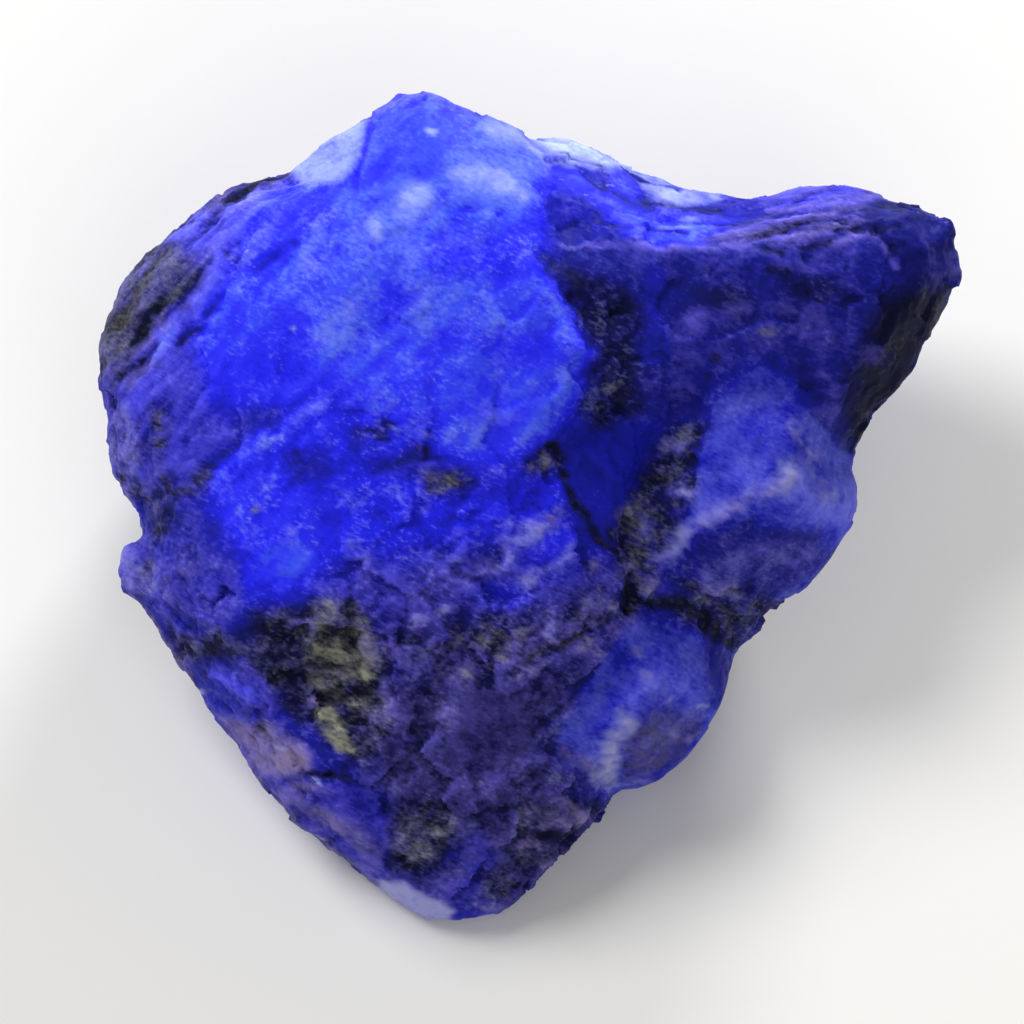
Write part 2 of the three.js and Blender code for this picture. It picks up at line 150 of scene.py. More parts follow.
# What the rock is made of, with painted light and shade in it. glow is how deep and clear the blue is, its
# high end also painted light coming through from behind and its low end painted shade in places, pale a
# milky cast, violet a lavender one, matrix the black graphite skin, olive the grey-green calc-silicate
# crystals, dust a tan weathered film, mottle how grainy the colour is. rise is relief in mm, rough how
# broken the surface is, streak and layer how grooved or layered. soft is the width of the edge in mm, broken
# how far it comes apart in grains.
looks = {
    # broad grounds
    "streakedBand": dict(soft=3, glow=0.76, violet=0.4, streak=1, rough=0.5, mottle=0.75),
    "clearWindow": dict(soft=1.4, glow=0.9, pale=0.03, violet=0.08, streak=0.25, rough=0.34, mottle=0.66),
    "lowWindow": dict(soft=1.6, glow=0.81, pale=0.03, violet=0.06, streak=0.3, rough=0.4, mottle=0.85),
    "navyHollow": dict(soft=2, glow=0.57, violet=0.22, streak=0.5, rough=0.6, mottle=0.7),
    "mottledBlue": dict(soft=2.6, glow=0.72, violet=0.04, streak=0.2, rough=0.6, mottle=1),
    "lilacMottle": dict(soft=2.6, glow=0.56, violet=0.28, matrix=0.1, streak=0.2, rough=0.7, mottle=1),
    "greyMottle": dict(soft=2.2, glow=0.4, violet=0.26, matrix=0.2, dust=0.18, rough=0.8, mottle=1),
    # deeper blue of the flank under the wing, partly painted shade
    "darkFlank": dict(soft=1.1, glow=0.42, violet=0.12, matrix=0.03, streak=0, rough=0.45, mottle=0.5),
    "deepCorner": dict(soft=0.9, glow=0.5, violet=0, matrix=0, streak=0, rough=0.4, mottle=0.4),
    "lowerDark": dict(soft=2, glow=0.32, violet=0.25, matrix=0.18, streak=0, rough=0.7, mottle=0.9),
    "flatFacet": dict(soft=1, glow=0.31, violet=0.22, matrix=0.1, rough=0.3, mottle=0.45),
    # clear blue, its milky parts and painted glints
    "clearHeart": dict(soft=3, glow=0.95, pale=0.08),
    "healedBubble": dict(soft=1.2, glow=0.97, pale=0.1),
    "milkyHalo": dict(soft=1.5, glow=1, pale=0.13, violet=0.04, rough=0.3),
    "milkyCore": dict(soft=0.6, glow=1, pale=0.56, rise=0.05, broken=0.5),
    # milky back rim painted pale where the light from behind shines through it: painted light as well as
    # milky stone
    "frostedRim": dict(soft=0.7, glow=1, pale=0.82, violet=0.12, rough=0.5, mottle=1, broken=0.3),
    "violetMilk": dict(soft=0.6, glow=0.95, pale=0.42, violet=0.34, rough=0.25, mottle=0.6),
    # painted highlights: small white glints painted into the colour
    "glint": dict(soft=0.2, pale=0.7, violet=0.1, matrix=0, rise=0.03, broken=0.5),
    "knob": dict(soft=0.6, glow=0.92, pale=0.05, violet=0.04, rough=0.2, mottle=0.3),
    "pureBlue": dict(soft=0.7, glow=0.93, pale=0.03, violet=0.06, matrix=0, rough=0.35, mottle=0.4),
    "blueRidge": dict(soft=0.7, glow=0.92, pale=0.04, violet=0.12, rough=0.3, rise=0.16),
    "deeperBlue": dict(soft=1.3, glow=0.76, violet=0),
    "navyPatch": dict(soft=1.1, glow=0.52, pale=0, matrix=0.04),
    "navySeam": dict(soft=0.45, glow=0.38, pale=0, violet=0, rise=-0.08, broken=0.5),
    # graphite, dark inclusions and hollows
    "inclusion": dict(soft=0.8, glow=0.34, violet=0.12, matrix=0.26, rough=0.7, mottle=1, rise=-0.05,
                      broken=0.6),
    "graphiteSkin": dict(soft=1.6, glow=0.36, pale=0, violet=0.1, matrix=0.44, olive=0.34, mottle=0.5),
    "graphiteSeam": dict(soft=0.4, glow=0.1, pale=0, violet=0, matrix=0.55, olive=0, dust=0, rise=-0.12,
                         broken=0.5),
    "rimGround": dict(soft=2.2, glow=0.3, violet=0.18, matrix=0.44, olive=0.24, streak=1, rough=0.5,
                      mottle=0.6),
    "stripe": dict(soft=1, glow=0.3, violet=0.05, matrix=0.46, olive=0.07, rough=0.8, mottle=1, rise=-0.1),
    # painted shade: dark patches in the flank and the flat
    "smudge": dict(soft=0.9, glow=0.22, violet=0, matrix=0.14),
    # grooves filled dark: graphite and olive grains, with painted shade
    "crevice": dict(soft=0.8, glow=0.28, violet=0.2, matrix=0.34, olive=0.2, rough=0.8, mottle=1,
                    rise=-0.08, broken=0.4),
    # near-black in the hollows and grooves: graphite, with painted shade
    "blackHollow": dict(soft=0.7, glow=0.1, violet=0, matrix=0.55, olive=0, rise=-0.1, broken=0.4),
    "hollow": dict(soft=0.9, glow=0.26, violet=0.16, matrix=0.46, olive=0.14, streak=0, rough=0.9,
                   mottle=1),
    # painted shade: the steep end under the wing painted near-black
    "blackSkin": dict(soft=1.4, glow=0.1, pale=0, violet=0, matrix=0, olive=0, rough=0.45, mottle=0.3),
    "oliveTangle": dict(soft=1, glow=0.3, violet=0.16, matrix=0.3, olive=0.56, rough=0.9, mottle=1,
                        broken=0.6),
    # lavender skin, ridges and weathered edges
    # pale lilac along ridges, partly a painted highlight
    "lilacRidge": dict(soft=0.7, glow=0.66, pale=0.16, violet=0.66, matrix=0, rise=0.08, broken=0.55),
    "lilacGrey": dict(soft=0.6, glow=0.44, violet=0.6, matrix=0.14, rise=0.06, broken=0.5),
    "lilacStreak": dict(soft=0.7, glow=0.84, violet=0.4, matrix=0, rise=0.07, broken=0.5),
    "lilacCloud": dict(soft=1, glow=0.43, violet=0.34, broken=0.6),
    "greyCloud": dict(soft=0.8, glow=0.54, violet=0.44, matrix=0.02, rise=0.05, broken=0.7),
    "greyKnob": dict(soft=0.6, glow=0.48, pale=0.09, violet=0.32, matrix=0.12, rough=0.6, mottle=0.8,
                     rise=0.12),
    "blueColumn": dict(soft=0.8, glow=0.5, violet=0, matrix=0),
    "lavenderSkin": dict(soft=0.7, glow=0.5, violet=0.66, matrix=0.06, dust=0.42, streak=0.3, rough=0.6,
                         mottle=1),
    "lavenderGlass": dict(soft=0.4, glow=0.6, pale=0.4, violet=1, matrix=0, dust=0.22, rough=0.25,
                          mottle=0.5),
    "tanSkin": dict(soft=0.7, violet=0.7, dust=0.85, broken=0.5),
    "weatheredEdge": dict(soft=0.5, glow=0.34, pale=0.1, violet=0.45, matrix=0.2, dust=0.5, broken=0.6),
    "blueSkin": dict(soft=0.8, glow=0.5, violet=0.17, matrix=0.06, rough=0.55, mottle=0.8),
    # the rounded lobes, painted lighter, in shade and with highlights along their ridges
    "lobe": dict(soft=0.3, glow=0.57, pale=0.1, violet=0.05, matrix=0, olive=0, streak=0, rough=0.2,
                 mottle=0.4),
    # lighter parts of the lobes: painted light
    "lobeBright": dict(soft=0.9, glow=0.67, pale=0.16, violet=0.2),
    # darker lower side of a lobe: painted shade, with the lobe's violet
    "lobeDeep": dict(soft=0.8, glow=0.26, pale=0.02, violet=0.36, broken=0.4),
    "lobeShade": dict(soft=1, glow=0.4, pale=0.04, violet=0.14, mottle=0.5),
    # lilac line along a lobe ridge, partly a painted highlight
    "lobeLine": dict(soft=0.8, glow=0.55, pale=0.18, violet=0.8, dust=0.1, rise=0.06, broken=0.85),
    # pale lilac crest of a lobe, partly a painted highlight
    "lobeCrest": dict(soft=0.85, glow=0.5, pale=0.5, violet=1, dust=0.3, rise=0.06, broken=0.5),
    # layered wing
    "wingTop": dict(soft=0.5, glow=0.58, violet=0.22, matrix=0, streak=0, layer=0.8, rough=0.4,
                    mottle=0.7),
    "wingLayers": dict(soft=0.6, glow=0.42, violet=0.2, streak=0, layer=0.9, rough=0.5, mottle=0.75),
    "wingEnd": dict(soft=0.7, glow=0.34, violet=0.04, matrix=0, streak=0, layer=0.2, rough=0.5,
                    mottle=0.3),
    "wingSeam": dict(soft=0.28, glow=0.24, violet=0.05, matrix=0.06, rise=-0.1, broken=0.3),
    "crack": dict(soft=0.16, glow=0.3, pale=0, violet=0, matrix=0, rise=-0.12, broken=0.3),
    "wingRidge": dict(soft=0.3, glow=0.6, violet=0.6, matrix=0, rise=0.07, broken=0.5),
    # only the shape
    "swell": dict(soft=1.8, rise=0.34),
    "dip": dict(soft=1.8, rise=-0.3),
    # grains and crystals that stand proud
    "pebble": dict(soft=0.35, glow=0.42, violet=0.46, matrix=0.16, olive=0.4, rise=0.13, broken=0.6),
    "lilacPebble": dict(soft=0.35, glow=0.56, pale=0.2, violet=0.62, matrix=0.04, rise=0.14, broken=0.35),
    "greyPebble": dict(soft=0.4, glow=0.4, violet=0.55, matrix=0.1, dust=0.45, rise=0.12, broken=0.5),
    "oliveKnot": dict(soft=0.5, glow=0.36, violet=0.26, matrix=0.16, olive=0.56, rise=0.12, broken=0.6),
    # pale olive crystal tips, partly a painted glint
    "oliveTip": dict(soft=0.25, pale=0.5, violet=0, matrix=0, olive=1.1, rise=0.1, broken=0.4),
    "oliveCrystal": dict(soft=0.34, violet=0.05, matrix=0, olive=1.05, dust=0, rough=0.5, mottle=0.5,
                         rise=0.2, broken=0.4),
}

# Where each look lies, in mm on the broken face. Later ones lie over earlier ones. A list of points is an
# outline, a width and a list are a bent line, five numbers are an ellipse: middle u, v, half sizes, turn.
places = [
    # swellings and dips of the edge
    ("swell", (-22.8, -3.1, 0.5, 0.8, 0), (-22.6, -3, 0.8, 1.1, 0), (23, 16, 0.6, 1, 20),
     (7, 17.9, 1.6, 0.4, -15)),
    ("dip", (-23.6, 7, 0.6, 2.4, 0), (-7.2, 22.6, 1.2, 0.3, 0), (-20.6, 14.6, 2.4, 0.5, 40)),
    # broad grounds
    ("streakedBand", [(-24, 6), (-24, 16), (-12, 19.5), (-12, 15), (-16, 11), (-17.5, 6), (-20, 4)]),
    ("clearWindow", [(-12.8, 18.8), (-15.5, 15.5), (-17.5, 12.5), (-18.6, 9), (-17.6, 6.2), (-13.5, 5.4),
     (-11, 6.5), (-9.8, 5.2), (-9, 3), (-5.6, 2.6), (-2, 2.1), (0.2, 3), (1.2, 3.8), (2.4, 4.9),
     (2.9, 6.8), (3.5, 8.2), (2.6, 10), (1.9, 11.9), (0.7, 13.3), (0.6, 16), (1, 21), (-6, 24),
     (-12, 22)]),
    ("lowWindow", [(-18.3, 0.5), (-16, 2.9), (-11.3, 6), (-9.5, 4.5), (-10, 2.5), (-6.5, 1.2), (-4.6, 0.2),
     (-4.4, -1.6), (-8, -2.2), (-10.5, -2.5), (-11.8, -4.6), (-14.5, -5), (-17.6, -5.6), (-15.9, -2.9),
     (-17, -1.2)]),
    ("navyHollow", [(-24, 5.5), (-20, 7), (-16.5, 5.4), (-14.6, 4.2), (-17.2, 1.9), (-18.6, 0.3),
     (-21, -1.8), (-24, 0)]),
    ("mottledBlue", [(-9, 2.4), (-4.4, 1.2), (-2.9, 1.2), (0, 2.7), (1.6, 2.2), (2.9, -2.4), (0, -3.8),
     (-3, -2.5), (-6, -4), (-9, -3.4), (-10.8, -2.6)]),
    ("lilacMottle", [(-11.5, -4.6), (-8, -3.2), (-3, -2), (1, -4), (3.4, -3), (4.6, -6.8), (2, -8.4),
     (-3, -9.6), (-8.6, -9), (-8.4, -6)]),
    ("greyMottle", [(-9.6, -7.2), (-6, -6.4), (-1, -6), (2, -5), (4.4, -4), (4.8, -6.6), (2, -8.6),
     (-3, -10), (-8.4, -9.4)]),
    ("darkFlank", [(0.6, 13.4), (2, 11.6), (3.4, 8.3), (2.6, 5), (4, 4.4), (8.6, 5), (9.6, 7), (12.4, 8.6),
     (15, 6.5), (16.5, 2), (20.4, 6), (23.4, 11), (20, 15.4), (12, 14.6), (5, 14.4)]),
    ("deepCorner", [(1.2, 3.8), (2.8, 4.6), (8.6, 4.6), (8, 2.5), (6, 0), (4.4, -2.6), (2.4, -1),
     (1.6, 1.4)]),
    ("lowerDark", [(-8, -9.4), (-4.4, -9.2), (1, -8.8), (4, -8), (1, -13), (2, -16), (4, -17), (0, -21),
     (-6, -21.5), (-9, -15)]),
    ("flatFacet", [(-3.6, -10), (-1, -10.2), (0.2, -12), (-0.2, -13.6), (-1.8, -14.4), (-4.8, -14.2),
     (-4.6, -12.4)]),
    # clear window: paler heart, healed bubbles, deeper patches
    ("clearHeart", (-8.5, 13.6, 5.2, 2.8, 20), (-4, 9, 3.4, 2, 0)),
    ("healedBubble", (-10.6, 9.3, 1.6, 1.1, 25), (-5.4, 11.7, 1.3, 0.8, 30)),
    ("deeperBlue", (-7.2, 11.2, 0.9, 0.6, 0), (-12.2, 15.6, 1, 0.6, 0), (-2.4, 13.6, 2.4, 1.1, 0),
     (-14.6, 7.6, 3, 1.3, 35), (-1.2, 8.7, 2.2, 0.6, -10)),
    ("pureBlue", (-1.4, 5.2, 2.2, 1.4, 0)),
    ("lilacStreak", (-2, 4.8, 1.2, 0.5, 10)),
    ("navySeam", (0.3, [(-15.2, 12.9), (-14.2, 13.6), (-13, 14.4)])),
    ("lilacStreak", (0.4, [(-9.4, 6), (-8.2, 6), (-7.2, 5.2)]), (-2.6, 5.4, 0.6, 0.25, 10)),
    ("glint", (-13, 9.6, 0.18, 0.16, 0)),
    ("lilacStreak", (-12.3, 13.3, 0.3, 0.45, 0), (-9.7, 10.8, 0.5, 0.35, 0)),
    # inclusions and dark seams in the window
    ("inclusion", (-7.8, 4, 1.9, 0.6, 10), (-6, 3.2, 0.7, 0.5, 50), (-6.9, 2.4, 0.9, 0.4, 10),
     (-12.6, 2.9, 0.4, 0.26, 20)),
    ("glint", (0.12, [(-7.8, 4.3), (-7.4, 4.15)])),
    ("navyPatch", [(-13.6, 3), (-11.2, 3.1), (-10.6, 1.8), (-11.4, 1.1), (-13.4, 1.3)]),
    ("navySeam", (0.4, [(-17.7, 1.7), (-16, 3.3), (-14, 4.3), (-12.8, 4.8)])),
    ("blueRidge", (0.7, [(-17.4, 1.2), (-16.4, 2.3), (-15, 3.2), (-13.4, 4.3), (-11.8, 5.4)])),
    ("lilacStreak", (-12.6, 4.7, 0.8, 0.25, 35)),
    ("pureBlue", (-13.4, -3, 1.6, 1.2, 10)),
    ("lilacStreak", (-13, -1.5, 0.3, 0.5, 0)),
    ("oliveKnot", (-15.2, -0.1, 0.22, 0.2, 0)),
    ("navyPatch", (-17.9, -1.4, 0.6, 0.5, 0)),
    # black rim of the left side, with its grey streaks
    ("rimGround", [(-13.1, 18.6), (-15, 17.7), (-16.9, 16.7), (-19, 15.4), (-19.6, 14.2), (-18.4, 13.2),
     (-20.4, 10.4), (-22, 8), (-23.3, 6), (-25, 7), (-24.5, 12), (-22, 15.8), (-18, 18.4)]),
    ("navyPatch", (1, [(-17.9, 13.4), (-18.9, 11.4)])),
    ("graphiteSkin", [(-23.5, 8.2), (-22.6, 8.2), (-21, 10.1), (-20.3, 11.2), (-21.4, 11.8), (-23.4, 10)]),
    ("graphiteSeam", (0.5, [(-21.9, 9), (-20.8, 10.6), (-20.2, 11.2)])),
    ("graphiteSkin", [(-21.2, 13.3), (-20.6, 11.8), (-19.4, 11.4), (-18.6, 12.9), (-20, 14.3)]),
    ("graphiteSeam", (0.4, [(-16.9, 16.8), (-15.2, 17.8), (-13.3, 18.3)])),
    ("greyCloud", (0.6, [(-22.6, 11.2), (-21.4, 13.2)])),
    ("lilacGrey", (0.5, [(-22.7, 7.5), (-21.6, 8.7), (-20.4, 10)]), (0.5, [(-22, 6.6), (-20.6, 8.2)])),
    ("graphiteSeam", (0.2, [(-22.6, 7), (-21.4, 7.9), (-20.6, 8.8)])),
    ("lilacStreak", (0.5, [(-20.6, 8.4), (-18.7, 10.5)])),
    ("navySeam", (0.4, [(-19.5, 8.7), (-18.2, 9.7), (-17.3, 11.3)])),
    ("lilacStreak", (0.55, [(-18.5, 11.4), (-16.4, 13), (-15.3, 14), (-13.7, 15.5)]),
     (0.5, [(-19.6, 14.8), (-18.3, 16)])),
    ("navySeam", (0.4, [(-19, 14.2), (-17.6, 15.9)])),
    ("inclusion", (-16.6, 14, 0.45, 0.5, 0)),
    ("lilacRidge", (0.3, [(-15.9, 16.4), (-14.2, 17.6)])),
    # left edge and the dark band beside it
    ("greyKnob", [(-23.6, 5.6), (-22, 5.4), (-21.1, 3.4), (-21.6, 1.6), (-23.4, 2)],
     (-21.9, 0.7, 0.8, 0.4, 10)),
    ("darkFlank", (-20, -0.8, 1.3, 0.8, 0)),
    ("crevice", (0.5, [(-22.6, 1.5), (-20.9, 0.2), (-19.2, 0.7), (-17.8, 1.8)]),
     (0.7, [(-20.3, -0.2), (-20.6, -2), (-20.9, -3.4)]), (0.7, [(-20.2, 1.2), (-20.5, 3), (-20.3, 5)])),
    # knob on the upper edge, with the pale crystals round it
    ("knob", [(-9.8, 17.8), (-9.4, 19.2), (-8.9, 20.6), (-8.4, 21.2), (-7, 21.7), (-5.6, 22.1),
     (-4.2, 21.6), (-3.4, 20.6), (-4.6, 19.4), (-5.4, 17.3), (-8, 16.6)]),
    ("violetMilk", [(-13.2, 18.3), (-12.5, 17.3), (-10.4, 17.8), (-9.9, 19), (-9, 20.8), (-9.6, 21.6),
     (-12, 21.2)]),
    ("lilacStreak", (0.6, [(-9.2, 21.3), (-7.9, 22.2), (-6, 22.8), (-4.6, 22.4), (-3.6, 21.7)])),
    ("navySeam", (0.1, [(-9.8, 17.6), (-9.3, 19.2), (-8.8, 20.8)])),
    ("glint", (-5.5, 20.4, 0.32, 0.18, 0)),
    ("pureBlue", (-10, 17, 1, 0.7, 0)),
    ("milkyHalo", [(-9, 15.8), (-8.4, 16.6), (-6.6, 17.6), (-5.2, 17.2), (-5, 15.8), (-6.6, 14.8),
     (-8.6, 14.4)]),
    ("milkyCore", (-6.4, 16.8, 0.8, 0.6, 10), (-7, 15.8, 0.5, 0.35, 0), (-8.6, 15.1, 0.35, 0.5, 0)),
    ("milkyHalo", [(-4.8, 17.4), (-3.6, 20), (-2.6, 21), (-0.6, 19.8), (0.9, 18.7), (0.9, 17.2),
     (-0.6, 16), (-1.8, 15.6), (-3.6, 16)]),
    ("violetMilk", (0.7, [(-3.9, 18.2), (-2, 17.9), (-0.6, 16.9)]),
     (0.4, [(-2.6, 20.8), (-1, 20.2), (0.2, 19.5), (0.9, 18.6)])),
    # back rim with its painted backlight, bright trough and the dark seam between them
    ("frostedRim", [(-0.2, 20.6), (1, 19.3), (2.3, 18.7), (4.6, 18.3), (5.6, 18.2), (6.2, 17.1),
     (7.8, 16.7), (10.2, 16.9), (9, 18.6), (4, 20.8)]),
    ("pureBlue", (7.8, 17.6, 1.2, 0.25, -12),
     [(1, 18.2), (2.2, 18.5), (3.1, 18), (3.8, 17.3), (4.8, 18), (5.6, 17.8), (5.6, 17), (4.6, 16.5),
     (3, 17.1), (1.6, 17.3)]),
    ("navyPatch", [(0.6, 17.2), (1.8, 17), (3.2, 16.8), (3.4, 15.6), (3.8, 14.9), (1.6, 14.9)]),
    ("pureBlue", [(3.3, 17), (4.2, 17.1), (5.6, 16.4), (6.6, 16.1), (9, 15.9), (12.8, 15.9), (12.4, 15.4),
     (10.4, 14.9), (8.4, 14.2), (6.6, 14.1), (4.8, 14.9), (4, 15.6)]),
    ("navySeam", (0.35, [(3, 18), (3.6, 17.5), (5.6, 16.6), (6.6, 16.2), (9.4, 16.2), (11.4, 15.8),
     (12.6, 15.9)])),
    ("crack", (0.14, [(1.6, 19.4), (2.6, 19), (3.8, 18.6)]),
     (0.14, [(4.8, 18.4), (5.8, 17.8), (6.8, 17.5), (8, 17.2)]),
     (0.14, [(2.4, 18.7), (2.9, 17.9), (4, 17.2)]),
     (0.12, [(6, 16.7), (7.2, 16.5), (8.6, 16.4), (10.4, 16.2)]),
     (0.14, [(3.6, 15.4), (5, 15.1), (6.8, 15.2), (8.4, 15)]),
     (0.14, [(8.8, 15.6), (10.4, 15.4), (12, 15.5)])),
    ("navySeam", (0.12, [(8.9, 17.4), (9.8, 16.7)])),
    ("lilacStreak", (0.35, [(3.6, 16.8), (4.6, 16.1), (5.7, 15.2)]),
     (0.25, [(6.9, 15.9), (8.2, 15.95), (9.8, 15.75)])),
    ("glint", (8.4, 15.72, 0.3, 0.05, 0), (7.7, 15.3, 0.3, 0.02, 0)),
    # layered wing
    ("wingTop", [(11.6, 16.6), (12.6, 17.3), (14, 18.2), (17.4, 18), (19.2, 17.4), (18.4, 16.6),
     (13, 15.9)]),
    ("wingLayers", [(9.4, 14.7), (12.4, 15.9), (16.2, 16.2), (19.4, 16.8), (19, 15), (16.2, 14.1),
     (12, 14.3)]),
    ("wingEnd", [(18.4, 17.6), (20.4, 17.6), (22.6, 16.8), (24, 15), (24.4, 13), (23, 12), (20.4, 12.2),
     (19.4, 14.2), (18.2, 15)]),
    ("wingRidge", (0.3, [(12.6, 17.2), (14, 17.35), (15.2, 17.5)]),
     (0.22, [(12.8, 16.1), (14, 16.3), (16, 16.5), (17.6, 16.6), (19, 16.9)]),
     (0.24, [(12.6, 15.3), (13.6, 15.6), (14.8, 15.75), (16.4, 15.9)]),
     (0.16, [(10, 14.8), (12, 15.1), (13.6, 15.4), (15, 15.5)]),
     (0.22, [(10.4, 14.3), (12, 14.5), (13, 14.8), (14.6, 14.6), (16.2, 14.8)]),
     (0.28, [(16.4, 14.2), (17.4, 14.7), (18.4, 14.85), (19.4, 14.2), (19.8, 13)]),
     (0.26, [(18.6, 17), (20.3, 17), (21.6, 16.7)])),
    ("wingSeam", (0.18, [(13.8, 15.3), (15.4, 15.35), (17.4, 15.7)]),
     (0.16, [(11.4, 14.55), (12.3, 14.7), (13.4, 15), (15, 15.05), (16.4, 15.2)]),
     (0.3, [(12.6, 14), (13.6, 13.9)]), (0.28, [(14.6, 14.1), (15.6, 14.1), (16.3, 14.4)]),
     (0.3, [(16.6, 15.1), (18.6, 15.15), (20, 15.3)]), (0.2, [(19, 16.5), (20.2, 16.6), (22.2, 16.3)])),
    ("lilacCloud", (0.2, [(21.3, 15.2), (21.7, 14), (21.9, 12.7)]), (23.4, 13.4, 0.4, 0.7, 0)),
    # dark flank under the wing, with patches of painted shade
    ("wingRidge", (0.3, [(1.4, 14.1), (3.4, 14.2), (5.2, 14.15), (7, 13.95), (9, 14.05), (11.6, 14.2)])),
    ("blueColumn", (1.0, [(6.6, 12.6), (6.5, 10.6), (6.6, 8.6)])),
    ("smudge", (10.5, 11.3, 1.2, 0.6, -5), (14.8, 12.1, 1, 0.5, -20), (16, 11.8, 0.8, 0.5, -25)),
    ("graphiteSeam", (0.35, [(12.9, 12.8), (13.8, 12.7)])),
    ("greyCloud", (15.2, 13.2, 0.9, 0.3, 5)),
    ("lilacCloud", (11.2, 10.5, 0.7, 0.4, 10)),
    ("greyCloud", (8.4, 10, 0.9, 0.5, 20)),
    ("oliveKnot", (12.7, 9.7, 0.6, 0.28, 20)),
    ("lilacCloud", (14.6, 10.4, 1.1, 0.7, -30)),
    ("graphiteSeam", (10, 8, 0.18, 0.16, 0)),
    ("greyCloud", (0.3, [(7.6, 6.1), (8.8, 6.3)]), (0.35, [(15.9, 7.3), (16.4, 6.2), (16.6, 5.2)])),
    # the steep end under the wing, painted near-black as shade
    ("blackSkin", [(19.2, 11.4), (21, 12), (22.8, 11.8), (22.6, 10), (20.2, 6.2), (17.8, 2.2), (17, 5.4),
     (18.4, 9.6)]),
    ("lilacCloud", (18.8, 8.3, 0.6, 0.5, 0)),
    # near-black stripe beside the window, and the deep blue corner under it
    ("stripe", [(0.5, 13.5), (2, 12), (2.5, 10.8), (2.9, 9.8), (3.8, 8.4), (3.2, 7), (2.8, 5.6),
     (3.4, 4.1), (4.2, 4.3), (5.6, 5.4), (6, 7.4), (5.6, 9), (5.6, 10.8), (5, 11.6), (3, 12.3)]),
    ("oliveKnot", (4.3, 6.5, 0.3, 0.15, 10)),
    ("crevice", [(-0.8, 2.2), (0.4, 2.9), (1.1, 3.4), (1.5, 2.4), (0.6, 1.8)]),
    ("oliveKnot", (0.5, 2.3, 0.4, 0.2, 10)),
    ("graphiteSeam", (0.4, [(1, 3.2), (1.6, 1.6), (2.2, 0.3), (2.9, -0.7), (3.6, -1.8), (4.5, -2.5),
     (5.2, -3.6)])),
    # upper lobe
    ("lobe", [(9.5, 4.8), (11, 6.9), (12.5, 7.8), (13.6, 7.1), (15.1, 5.2), (16.8, 3.2), (18.8, 2),
     (20, -0.6), (18.6, -3.2), (15, -5.4), (11, -4.4), (6.8, -2.8), (8.6, -0.2), (8.7, 1.4)]),
    ("lobeBright", [(14.4, 2.6), (15.6, 2), (17.4, 1.4), (18.2, 0), (17.2, -1.6), (15.6, -0.8), (14, 0.4)],
     (11.9, 1.8, 1, 0.6, 0)),
    ("lobeLine", (0.4, [(14.2, 4.5), (15, 3.2), (15.4, 2.2), (15.8, 1.2), (16.2, 0.4)])),
    ("lilacRidge", (0.9, [(6.9, -2.7), (8.2, -1.6), (9.2, -0.8), (10.4, -0.2), (12.4, 0.7), (14, 1.3)])),
    ("lobeCrest", (13.9, 1.6, 0.28, 0.5, 0), (8.1, -1.8, 0.35, 0.2, 45)),
    ("lobeLine", (0.3, [(9.2, -0.9), (10.6, -0.2), (12.7, 0.8), (14, 1.5)])),
    ("lobeShade", [(7.8, -2.7), (9.4, -1.4), (11, -0.9), (13, -1), (15.4, -1.5), (16.4, -2.8),
     (14.4, -4.8), (11.6, -4.8), (8, -3.6)]),
    ("navySeam", (0.1, [(13.4, -1.5), (15.2, -1.7)])),
    ("greyCloud", (0.25, [(11.6, -2.6), (12.4, -2.2)]), (0.4, [(14.2, -3.2), (15.6, -2.5)])),
    ("crevice", [(7.8, -3.8), (11, -4.2), (13.4, -5), (13.6, -5.8), (11, -7.8), (8.6, -6)]),
    ("greyCloud", (0.2, [(9, -4.9), (10.4, -4.6)])),
    # groove between the lobes and the middle
    ("crevice", [(9.4, 4.6), (7.6, 4.2), (6.4, 2.2), (5, 0.4), (4.2, -1.2), (4.6, -3.4), (5, -5),
     (6.6, -5), (7, -3.4), (6.8, -2.4), (8, -1.2), (8.6, 0.4), (8.8, 2.6)]),
    ("graphiteSeam", (0.6, [(5.3, -3.9), (5.3, -5.4)])),
    ("blackHollow", (0.7, [(6, -5.2), (7.5, -5.2), (9, -6), (10.2, -7), (10.9, -7.9)])),
    # lower lobe
    ("lobe", [(5, -6.5), (6.6, -6.2), (8.4, -6.8), (11.6, -8.2), (12, -9.6), (11, -12.6), (9, -15.4),
     (5.4, -17), (3.4, -15.2), (1.4, -12.6), (2.4, -10.6), (3.4, -9.1), (4.4, -7.6)]),
    ("lobeShade", [(9.4, -7.4), (10.2, -7.8), (11.4, -8.2), (11, -10.4), (10.2, -11.2), (9.8, -9.2)]),
    ("lobeBright", (1.9, -12.3, 0.6, 0.4, 0), (7.6, -9.6, 1.2, 0.9, -40)),
    ("lobeDeep", [(5.2, -11.8), (7.4, -11.3), (9.2, -11.6), (8.4, -13.6), (6.6, -14.8), (4.8, -14.8)]),
    ("greyCloud", (8.5, -11.6, 0.6, 0.25, 10)),
    ("lobeLine", (0.14, [(5.6, -7.7), (6.2, -8.7), (6.7, -9.9), (7.3, -10.8)])),
    ("lilacRidge", (3.7, -13.8, 0.6, 0.9, -20)),
    ("lobeCrest", (0.65, [(5, -11.6), (4.7, -12.4), (4.3, -13.4), (3.8, -14.9)])),
    ("lilacGrey", (0.8, [(1.9, -13.2), (2.8, -14.1), (3.7, -14.9)])),
    ("lobeLine", (0.2, [(3.6, -15.3), (4.8, -15.4), (6.2, -15.1)]), (0.1, [(7.4, -12.2), (8.6, -12.9)])),
    ("glint", (0.12, [(9.05, -11), (9.65, -11.05)])),
    # mottled middle
    ("crevice", [(-6.2, 1.8), (-4, 2), (-3.2, 1.5), (-4.2, 0.8), (-6.2, 0.4)]),
    ("oliveKnot", (-5, 1.1, 0.5, 0.3, 10)),
    ("lilacRidge", (0.4, [(-5.8, -5), (-4.8, -3.5), (-4, -2.8)])),
